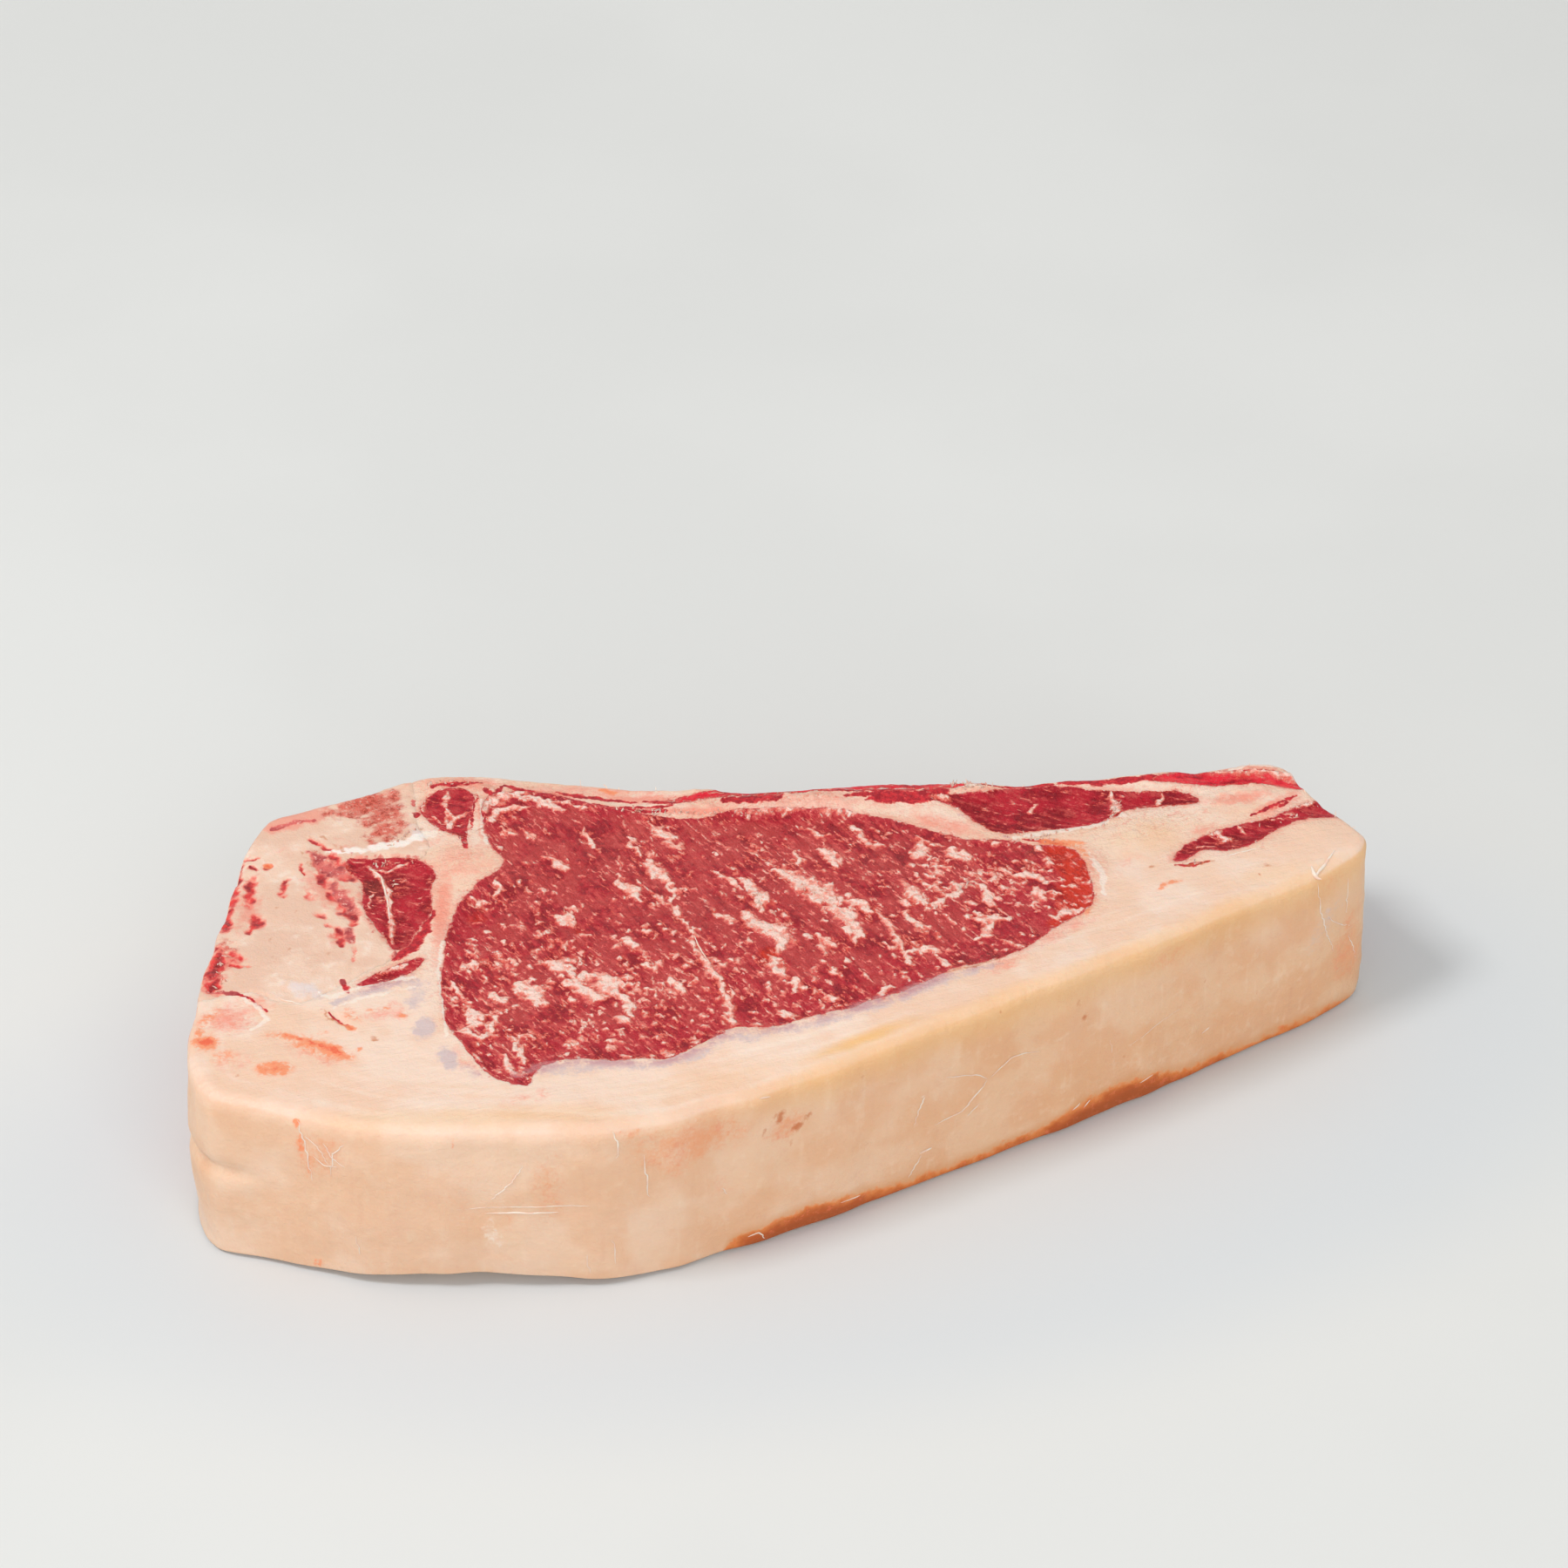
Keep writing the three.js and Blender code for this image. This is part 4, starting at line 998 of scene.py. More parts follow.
def face_masks(points, gaps, piece):
    """Every mask on a cut face."""
    x, y = points.T
    rough = shake(points)
    masks = {name: np.zeros(len(points)) for name in MASKS}
    eye, bone, fat = piece == EYE_ID, piece == BONE_ID, piece == FAT
    small = np.isin(piece, range(1, len(MUSCLES)))
    marbling = np.full(len(points), -1.0)
    marbling[eye] = eye_marbling(points[eye])
    marbling[small] = paths(rough[small], SMALL_MUSCLE_PATHS) + 0.3 * noise(points[small], 1.2, 73)
    masks["marbling"] = marbling
    masks["specks"] = fleck_crowd(points) * eye
    for name, crowd in SMALL_CROWDS.items():
        masks["specks"] += crowd * (piece == PIECES.index(name))
    in_eye = np.maximum(soft_paths(points, EYE_BLOOD_PATHS, 0.9), patches(rough, EYE_BLOOD_PATCHES))
    stains = np.maximum(patches(rough, BLOOD_PATCHES), soft_paths(rough, BLOOD_PATHS))
    masks["blood"] = np.where(eye, in_eye, stains)
    masks["dry"] = patches(rough, EYE_DRY_PATCHES) * eye + patches(rough, SPONGY_PATCHES) * bone
    masks["dry"] += patches(rough, SMALL_DRY_PATCHES) * small
    fresh = 0.3 + 0.4 * ease(-y + 0.3 * x, 4, 26) + 0.5 * ease(y, 36, 44) + 0.35 * ease(x, 30, 44)
    fresher = 0.45 * ease(x, -56, -66) + 0.5 * patches(points, EYE_FRESH_PATCHES)
    fresh += fresher + 0.2 * clouds(points, 15.0, 75, 2)
    small_fresh = 0.9 - 0.45 * (piece == PIECES.index("corner_muscle"))
    masks["fresh"] = np.clip(np.where(small, small_fresh + 0.2 * noise(points, 7.0, 79), fresh), 0, 1.2)
    near_lean = ease(gaps["lean"], 2.2, 0.1) * ease(y, -44, -10)
    flush = np.maximum(patches(rough, FLUSH_PATCHES), 0.5 * near_lean)
    flush += 0.15 * clouds(points, 9.0, 76, 3)
    masks["flush"] = np.clip(flush, 0, 1) * ~eye
    golden_rim = ease(gaps["rim"] + 0.8 * noise(points, 9.0, 68), 4.6, 0.0)
    golden_rim = golden_rim * ease(x, -22, 8) * ease(y, 34, 20)
    gold = patches(shake(points, ((6, 0.8), (2, 0.3))), GOLD_PATCHES)
    masks["gold"] = np.maximum(gold, 0.65 * golden_rim)
    masks["rust"] = np.maximum(patches(rough, RUST_PATCHES), 0.7 * soft_paths(rough, RUST_PATHS))
    shifted = shake(points, ((2.4, 0.5), (1.0, 0.3)))
    masks["meat"] = soft_paths(shifted, MEAT_PATHS, 0.45) * (fat | bone)
    shaken = shake(points, ((2.2, 0.8), (0.9, 0.25)))
    masks["meat"] = np.maximum(masks["meat"], patches(shaken, MEAT_PATCHES) * bone)
    skin = soft_paths(shake(points, ((3, 0.7), (1.2, 0.4))), SKIN_PATHS, 0.5)
    masks["skin"] = np.maximum(skin * (0.75 + 0.35 * noise(points, 5.0, 78)), patches(rough, SKIN_PATCHES))
    masks["white"] = soft_paths(rough, WHITE_PATHS, 0.3)
    marrow = np.maximum(0.9 * soft_paths(shaken, MARROW_PATHS, 0.6), patches(shaken, MARROW_PATCHES))
    masks["marrow"] = marrow * bone
    band = np.column_stack([x / 26, (gaps["rim"] + 0.08 * x) / 1.9])
    masks["layer"] = noise(band, 1.0, 77) * ease(gaps["rim"], 24, 10) * ease(y, 30, 10)
    by_lean = ease(gaps["lean"], 5, 0) * 0.5 * ease(y, -44, -10)
    curd = np.maximum(patches(points, CURD_PATCHES), by_lean)
    masks["curd"] = np.maximum(curd, 0.9 * patches(points, END_CURD_PATCHES))
    masks["lean_gap"] = gaps["lean"]
    masks["crust"] = np.full(len(points), NO_CRUST)
    return masks


# %% Marks on the front side, read at (x, z)
SIDE_BLOOD = [
    (-93.2, 35.6, 0.6, 1.6, 90, 1.0), (-90.6, 2.3, 0.9, 1.0, 0, 1.0), (-32.9, 37, 0.6, 1.8, 110, 0.9),
    (-63.6, 35, 0.4, 1.6, 90, 0.4), (-92.4, 31, 0.8, 4, 95, 0.4), (-91, 26, 0.6, 4, 85, 0.3),
]
SIDE_RUST = [
    (-2.4, 29.4, 1.1, 1.8, 70, 1.2), (0.4, 26.0, 1.3, 1.6, 30, 1.2), (2.6, 27.8, 0.7, 1.8, 40, 1.0),
    (-5.6, 27.4, 0.6, 1.2, 100, 0.8), (-0.6, 22.6, 0.6, 1.2, 90, 0.8), (-2.6, 30.4, 1.0, 2.4, 5, 0.7),
    (0.6, 25.5, 1.2, 1.6, 0, 0.75), (-1.8, 23.4, 0.8, 1.6, 90, 0.4), (3.4, 26.6, 0.9, 2.6, 15, 0.4),
    (56.4, 27, 0.9, 1.3, -50, 1.0), (55.2, 30.4, 0.5, 2.6, 105, 0.5), (64, 24, 0.5, 1.0, 0, 0.8),
    (80.8, 23.8, 0.5, 0.6, 0, 0.9), (64.8, 13, 0.5, 0.7, -60, 1.0), (92, 15.4, 0.5, 0.6, 0, 0.9),
    (39.8, 35.4, 0.4, 1.0, 90, 0.8), (49.9, 27.6, 0.4, 0.5, 0, 1.0), (15.6, 23.6, 0.5, 0.9, -30, 0.6),
    (13.6, 16, 0.5, 0.6, 0, 0.5), (38.8, 9.2, 0.5, 1.0, -30, 0.5), (12.6, 33, 0.8, 3.4, -62, 0.4),
    (77.8, 7, 0.9, 1.2, 0, 0.6), (-87.2, 18, 0.7, 0.7, 0, 0.45), (-107.4, 33.6, 1.2, 3, 90, 0.4),
    (-102.6, 14, 1.4, 6, 85, 0.3), (-63, 13.6, 0.3, 0.4, 0, 0.7), (41.8, 27.4, 0.7, 1.3, -45, 0.3),
    (91, 29, 0.3, 0.3, 0, 0.6), (5.4, 37, 0.6, 3, -60, 0.4), (36, 22, 0.3, 4, 152, 0.35),
    (46.8, 35.6, 0.4, 1.2, -30, 0.4), (56, 6.4, 0.6, 1.0, 40, 0.4),
]
SIDE_FLUSH = [
    (-88.6, 29.6, 6, 7, 60, 0.75), (-46, 24, 5, 13, 88, 0.5), (-19, 30, 6, 14, 0, 0.9),
    (-30, 35, 2, 5, 20, 0.7), (-14, 17, 4, 6, 0, 0.35), (-2, 28, 4, 5, 0, 0.5), (74, 33, 3, 7, 0, 0.45),
    (111, 13, 4, 8, 100, 0.9), (107, 33, 5, 7, 0, 0.4), (-54, 16, 1.6, 5, 88, 0.4),
    (-1, 27, 3.4, 5.6, 30, 1.0), (-22, 27, 4, 7, 60, 0.6), (-62, 22, 8, 16, 88, 0.3),
    (-78, 14, 1.5, 18, 90, 0.3), (112, 20, 2, 6, 90, 0.7),
]
SIDE_SKIN = [(106, 24, 4, 9, 60, 0.45)]
SIDE_WHITE = [
    (-57, 13, 3.2, 6.5, 100, 0.5), (-53, 20, 2.4, 6, 90, 0.35), (-87, 29, 2.4, 5, 70, 0.35),
    (-26, 24, 1.6, 7, 90, 0.3), (24.8, 22, 0.7, 0.8, 0, 0.8),
]
BROWN_EDGE = [
    (-14, -1), (-12.6, 1.2), (-9, 2.8), (-4, 3.6), (4, 4.0), (9, 3.8), (13, 2.8), (17, 1.9), (26, 1.3),
    (31, 1.1), (36, 1.2), (42, 1.8), (47, 1.8), (51, 2.8), (57, 3.8), (62, 4.0), (67, 4.4), (72, 3.4),
    (76, 2.4), (82, 1.6), (90, 1.3), (100, 1.3), (108, 1.1), (112, 0.6), (115, -1),
]
TORN_REACH = 14  # mm over which meat and fat are smeared past each other on the back
ON_LEAN = 0.01  # a point this near the lean is on it


def seam_gaps(points, piece):
    """How far each point of the side is from the nearest lean on the rim, and from fat or bone there."""
    spots = points.reshape(-1, SIDE_ROWS, 3)[:, 0, :2]
    lean = ~np.isin(piece.reshape(-1, SIDE_ROWS)[:, 0], [FAT, BONE_ID])
    gaps = []
    for kind in (lean, ~lean):
        apart = spots[:, None, :] - spots[None, kind, :]
        gaps.append(np.repeat(np.hypot(apart[:, :, 0], apart[:, :, 1]).min(axis=1), SIDE_ROWS))
    return gaps


def side_masks(points, piece):
    """Every mask on the side."""
    x, y, z = points.T
    masks = {name: np.zeros(len(points)) for name in MASKS}
    front = ease(y - 0.36 * x, 14, 2)
    flat = np.column_stack([x, z])
    rough = shake(flat)
    masks["blood"] = patches(rough, SIDE_BLOOD) * front
    masks["rust"] = patches(rough, SIDE_RUST) * front
    masks["flush"] = patches(shake(flat, ((6, 1.6), (2, 0.7))), SIDE_FLUSH) * front * 0.8
    masks["skin"] = patches(rough, SIDE_SKIN) * front
    masks["white"] = patches(rough, SIDE_WHITE) * front
    edge = 0.3 + 1.25 * np.interp(x, *np.array(BROWN_EDGE).T) + 0.5 * noise(points, (9, 9, 50), 81)
    masks["crust"] = np.where(front > 0.5, np.clip(edge - z, NO_CRUST, 3), NO_CRUST)
    back = 1 - front
    masks["gold"] = front * ease(x, -22, 8) * ease(z + noise(points, 9.0, 67), 27, 37) * 0.8
    to_lean, to_fat = seam_gaps(points, piece)
    ragged = 0.6 * noise(points, (9, 9, 4), 101) + 0.4 * noise(points, (3, 3, 1.8), 102)
    ragged = ragged + 0.2 * noise(points, 1.2, 103)
    scraps = noise(points, (14, 14, 6), 84) + 0.45 * noise(points, (4, 4, 2), 104)
    scraps = scraps + 0.25 * noise(points, 1.4, 105)
    torn_flush = 0.4 + 0.5 * clouds(points, 14.0, 83) + 0.5 * ease(to_lean, 10, 0)
    masks["flush"] += back * np.clip(torn_flush, 0, 1)
    torn_lean = ease(-to_lean / TORN_REACH - ragged, -0.08, 0.14)
    masks["meat"] += back * 0.95 * np.maximum(ease(scraps, 0.42, 0.75), torn_lean)
    masks["rust"] += back * 0.4 * ease(noise(points, (7, 7, 3), 85), 0.4, 0.8)
    masks["white"] += back * 0.7 * ease(noise(points, (18, 18, 3), 106) + 0.4 * ragged, 0.3, 0.7)
    on_lean = to_lean < ON_LEAN
    film = back * ease(0.5 * noise(points, (22, 22, 5), 107) + 0.6 * ragged, -0.1, 0.4)
    masks["skin"] += film * 0.7 * on_lean * ease(to_fat, 1, 8)
    masks["dry"] += back * 0.7 * on_lean
    masks["curd"] = back * 0.8
    masks["peach"] = np.clip(0.66 + 0.3 * ease(x, -64, 60) + 0.14 * clouds(points, 20.0, 86), 0, 1)
    masks["peach"] *= ease(z, 39, 34) * (1 - 0.6 * back)
    masks["fresh"] = 0.8 - 0.2 * back
    masks["specks"] = np.full(len(points), 0.3)
    masks["marbling"] = (noise(points, (3.0, 3.0, 2.0), 87) - 0.6) * 2.2
    smears = 3.5 * (ragged - np.minimum(to_fat / TORN_REACH, 0.3))
    masks["marbling"] = np.where(back > 0.5, np.maximum(masks["marbling"], smears), masks["marbling"])
    masks["marrow"] = ease(noise(points, (3.0, 3.0, 6.0), 88), 0.2, 0.6) * (piece == BONE_ID)
    masks["lean_gap"] = np.full(len(points), FAR_FROM_LEAN)
    return masks


# %% [markdown]
# ## Putting the surfaces together
# All the points go into one long list: the upper face, the lower face, and the columns of the side. Each
# piece then picks the faces it owns, so that neighbours share exact positions and no gap can open.

# %% The upper and lower faces in three dimensions
upper_masks = face_masks(plan, upper_gaps, upper_piece)
upper_z = face_height(plan, upper_gaps, upper_piece)
fleck = ease(upper_masks["marbling"], -0.1, 0.5)
upper_z += 0.28 * fleck * (1 + 0.5 * noise(plan, 1.3, 94))
pits = upper_masks["marrow"] * (0.35 + 0.5 * np.clip(noise(plan, 1.1, 91), 0, 1))
upper_z -= pits + 0.22 * (upper_masks["dry"] * (upper_piece == BONE_ID)) * (1 + noise(plan, 0.9, 92))
lower_masks = face_masks(lower_plan, lower_gaps, lower_piece)
lower_level = base_lift(lower_plan) * ease(lower_gaps["rim"], 15, 0)
lower_z = lower_level + 0.1 + 0.1 * np.clip(noise(lower_plan, 8.0, 93), -1, 1)
inside_round = np.clip(LOWER_ROUND * LOWER_INSET - lower_gaps["rim"], 0, None)
lower_z += LOWER_ROUND - np.sqrt(LOWER_ROUND**2 - inside_round**2)
print(f"upper face from {upper_z.min():.1f} to {upper_z.max():.1f} mm")

# %% The columns of the side
UPPER_TURNS = np.radians([56, 67, 78, 90])
LOWER_TURNS = np.radians([90, 75, 60])
STRAIGHT_ROWS = 30
SIDE_ROWS = len(UPPER_TURNS) + STRAIGHT_ROWS + len(LOWER_TURNS)
face_level = upper_z[rim] + SLOPE_SHARE * side_round
base_level = lower_z[below[rim]] - SLOPE_SHARE * LOWER_ROUND
side_rows = []
for turned in UPPER_TURNS:
    level = face_level - side_round * (1 - math.cos(turned))
    side_rows.append((side_round * (1 - math.sin(turned)), level))
low_start = base_level + LOWER_ROUND
for share in np.linspace(0, 1, STRAIGHT_ROWS + 2)[1:-1]:
    side_rows.append((np.zeros(len(rim)), (face_level - side_round) * (1 - share) + low_start * share))
for turned in LOWER_TURNS:
    level = low_start - LOWER_ROUND * math.cos(turned)
    side_rows.append((np.full(len(rim), LOWER_ROUND * (1 - math.sin(turned))), level))
inset = np.stack([row[0] for row in side_rows], axis=1)
side_z = np.stack([row[1] for row in side_rows], axis=1)
side_xy = side_plan[:, None, :] - side_normal[:, None, :] * inset[:, :, None]
side_points = np.dstack([side_xy, side_z]).reshape(-1, 3)
ends = ease(face_level[:, None] - side_z, 0.3, 6) * ease(side_z - base_level[:, None], 0.2, 4)
shift = side_relief(side_points).reshape(ends.shape) * ends
level_normal = np.repeat(side_normal, SIDE_ROWS, axis=0).dot(np.eye(2, 3))
side_points = side_points + level_normal * shift.reshape(-1, 1)
rim_owner = {}
for i, edges in enumerate(piece_edges):
    for edge in edges.tolist():
        rim_owner[tuple(edge)] = i
next_rim = np.roll(rim, -1)
side_piece = np.array([rim_owner[a, b] for a, b in zip(rim.tolist(), next_rim.tolist())])
masks_on_side = side_masks(side_points, np.repeat(side_piece, SIDE_ROWS))

# %% Every point and every mask in one list
all_points = np.vstack(
    [np.column_stack([plan, upper_z]), np.column_stack([lower_plan, lower_z]), side_points]
)
all_masks = {
    name: np.concatenate([upper_masks[name], lower_masks[name], masks_on_side[name]]) for name in MASKS
}
SIDE_START = COUNT + len(lower_plan)


def column(point):
    """The points from an upper edge point down to the lower point under it."""
    k = column_of[point]
    if k < 0:
        return [point, COUNT + below[point]]
    first = SIDE_START + k * SIDE_ROWS
    return [point, *range(first, first + SIDE_ROWS), COUNT + below[point]]


def piece_faces(index):
    """The faces of one piece: its share of both faces, its stretch of the side, and its hidden walls."""
    faces = triangles[owner == index].tolist()
    faces += (lower_triangles[lower_owner == index][:, ::-1] + COUNT).tolist()
    for a, b in piece_edges[index].tolist():
        down_a, down_b = column(a), column(b)
        if after.get(a) == b:
            for j in range(len(down_a) - 1):
                faces.append([down_b[j], down_a[j], down_a[j + 1], down_b[j + 1]])
        else:
            faces.append(down_b[::-1] + down_a)
    return faces


def mesh_piece(index, name, material):
    """Makes one piece as a mesh object that carries its masks."""
    faces = piece_faces(index)
    flat_ids = np.array([i for face in faces for i in face])
    used, local = np.unique(flat_ids, return_inverse=True)
    sizes = np.array([len(face) for face in faces])
    starts = np.concatenate([[0], np.cumsum(sizes)[:-1]])
    mesh = bpy.data.meshes.new(name)
    mesh.vertices.add(len(used))
    mesh.vertices.foreach_set("co", (all_points[used] * MM).astype(np.float32).ravel())
    mesh.loops.add(len(local))
    mesh.loops.foreach_set("vertex_index", local.astype(np.int32))
    mesh.polygons.add(len(faces))
    mesh.polygons.foreach_set("loop_start", starts.astype(np.int32))
    mesh.update(calc_edges=True)
    mesh.validate()
    for mask in MASKS:
        layer = mesh.attributes.new(mask, "FLOAT", "POINT")
        layer.data.foreach_set("value", all_masks[mask][used].astype(np.float32))
    mesh.shade_smooth()
    mesh.set_sharp_from_angle(angle=math.radians(55))
    mesh.materials.append(material)
    print(f"{name}: {len(used)} points, {sum(len(face) - 2 for face in faces)} triangles")
    return put_in_scene(name, mesh)


# %% [markdown]
# ## A short way to write node trees
# Materials and Geometry Nodes are trees of nodes. Written node by node they are long and hard to read, so
# the small classes below let a socket take part in ordinary sums: `1 - mask` adds its Math node by itself.
# Colours go through Mix nodes, because a Math node would turn them grey.

# %% Sockets that do sums, and the tree that holds them
class Term:
    """A number, colour or vector in a tree: one output socket, wrapped so that sums can be written."""

    def __init__(self, sheet, socket):
        self.sheet, self.socket = sheet, socket

    def sum(self, operation, *values):
        return self.sheet.node("ShaderNodeMath", {"operation": operation}, list(values))

    def __add__(self, other):
        return self.sum("ADD", self, other)

    __radd__ = __add__

    def __mul__(self, other):
        return self.sum("MULTIPLY", self, other)

    __rmul__ = __mul__

    def __sub__(self, other):
        return self.sum("SUBTRACT", self, other)

    def __rsub__(self, other):
        return self.sum("SUBTRACT", other, self)

    def top(self, other):
        """The larger of the two."""
        return self.sum("MAXIMUM", self, other)

    def ease(self, low, high):
        """0 at low, 1 at high, smooth between."""
        settings = {"interpolation_type": "SMOOTHSTEP"}
        return self.sheet.node("ShaderNodeMapRange", settings, [self, low, high, 0.0, 1.0])


class Sheet:
    """A node tree written as Python expressions."""

    def __init__(self, tree):
        self.tree = tree

    def node(self, kind, settings=None, inputs=(), give=0):
        """Adds a node: settings first, then values or links for its inputs, by number or by name."""
        made = self.tree.nodes.new(kind)
        for key, value in (settings or {}).items():
            setattr(made, key, value)
        pairs = inputs.items() if isinstance(inputs, dict) else enumerate(inputs)
        for key, value in pairs:
            if isinstance(value, Term):
                self.tree.links.new(value.socket, made.inputs[key])
            elif value is not None:
                made.inputs[key].default_value = value
        return Term(self, made.outputs[give])

    def drift(self, place, size, far, seed=0.0):
        """A smooth random shift with features of a size in mm. Noise swings little, so far is generous."""
        inputs = {"Vector": place, "Scale": 1 / (size * MM), "Detail": 2.0, "W": seed}
        noisy = self.node("ShaderNodeTexNoise", {"noise_dimensions": "4D"}, inputs, give="Color")
        centred = self.node("ShaderNodeVectorMath", {"operation": "SUBTRACT"}, [noisy, (0.5, 0.5, 0.5)])
        return self.node("ShaderNodeVectorMath", {"operation": "SCALE"}, {"Vector": centred, "Scale": far})


class Finish(Sheet):
    """A material whose tree is written as Python expressions."""

    def __init__(self, name):
        self.material = bpy.data.materials.new(name)
        self.material.use_nodes = True
        super().__init__(self.material.node_tree)
        self.tree.nodes.clear()
        self.place = self.node("ShaderNodeTexCoord", give="Object")

    def mask(self, name):
        """A mask that the mesh carries."""
        return self.node("ShaderNodeAttribute", {"attribute_name": name}, give="Fac")

    def vary(self, size, detail=2.0, turn=0.0, shift=0.0, rough=0.5):
        """Noise about -1 to 1 with features of a size in mm, one number or (x, y, z), turned by degrees."""
        size = (size,) * 3 if isinstance(size, (int, float)) else size
        inputs = {
            "Vector": self.place,
            "Location": tuple(shift * part * MM for part in (37.0, 26.0, 49.0)),
            "Rotation": (0, 0, math.radians(turn)),
            "Scale": tuple(s * MM for s in size),
        }
        placed = self.node("ShaderNodeMapping", {"vector_type": "TEXTURE"}, inputs)
        inputs = {"Vector": placed, "Scale": 1.0, "Detail": detail, "Roughness": rough}
        return (self.node("ShaderNodeTexNoise", None, inputs) - 0.5) * 6.0

    def flecks(self, size, turn, shift, crowd):
        """Scattered flecks, above 0 inside. Each cell of size mm may hold one, and crowd fills more."""
        shifted = self.drift(self.place, 1.1, 2.4 * MM, shift)
        bent = self.node("ShaderNodeVectorMath", {"operation": "ADD"}, [self.place, shifted])
        inputs = {
            "Vector": bent,
            "Location": tuple(shift * part * MM for part in (31.0, 17.0, 23.0)),
            "Rotation": (0, 0, math.radians(turn)),
            "Scale": tuple(s * MM for s in size),
        }
        placed = self.node("ShaderNodeMapping", {"vector_type": "TEXTURE"}, inputs)
        away = self.node("ShaderNodeTexVoronoi", None, {"Vector": placed, "Scale": 1.0}, give="Distance")
        luck = self.node("ShaderNodeTexVoronoi", None, {"Vector": placed, "Scale": 1.0}, give="Color")
        luck = self.node("ShaderNodeSeparateColor", None, [luck])
        return ((luck + crowd - 1).ease(-0.1, 0.9) * 0.8 - away - 0.02) * 3.2

    def torn(self, name, ripple):
        """A mask whose edges are torn by a ripple of noise. Where the mask is 0 it stays 0."""
        mask = self.mask(name)
        return mask + ripple * mask.ease(0.0, 0.35)

    def mix(self, start, end, share):
        """A colour between two, each worked out before or given as it looks on a display."""
        start, end = (paint(*tone) if isinstance(tone, tuple) else tone for tone in (start, end))
        return self.node("ShaderNodeMix", {"data_type": "RGBA"}, {0: share, 6: start, 7: end}, give=2)

    def coat(self, tone, share):
        """Lays one more tone over the colour so far, as thickly as share says."""
        self.colour = self.mix(self.colour, tone, share)

    def bump(self, height, distance, strength=1.0):
        """A bump of height times distance in mm."""
        inputs = {"Strength": strength, "Distance": distance * MM, "Height": height}
        return self.node("ShaderNodeBump", None, inputs, give="Normal")

    def surface(self, **sockets):
        """Ends the tree with a Principled surface. Names have _ for a space."""
        inputs = {key.replace("_", " "): value for key, value in sockets.items()}
        skin = self.node("ShaderNodeBsdfPrincipled", None, inputs)
        out = self.tree.nodes.new("ShaderNodeOutputMaterial")
        self.tree.links.new(skin.socket, out.inputs["Surface"])
        return self.material


def paint(red, green, blue):
    """A colour as it should look on a display, 0 to 255, turned into the renderer's linear numbers."""
    def linear(c):
        c /= 255
        return c / 12.92 if c <= 0.04045 else ((c + 0.055) / 1.055) ** 2.4

    return (linear(red), linear(green), linear(blue), 1.0)


# %% [markdown]
# ## Lean
# Lean is crimson where it is fresh and browner where air has dried it. Its fibres give it a fine streak.
# The drawn flecks get ragged edges here, and three sizes of finer flecks are strewn along the fibres, two
# by cells and one by noise, because they are too many and too small for the mesh. Round each fleck the
# fat shows through the lean as a pink haze.

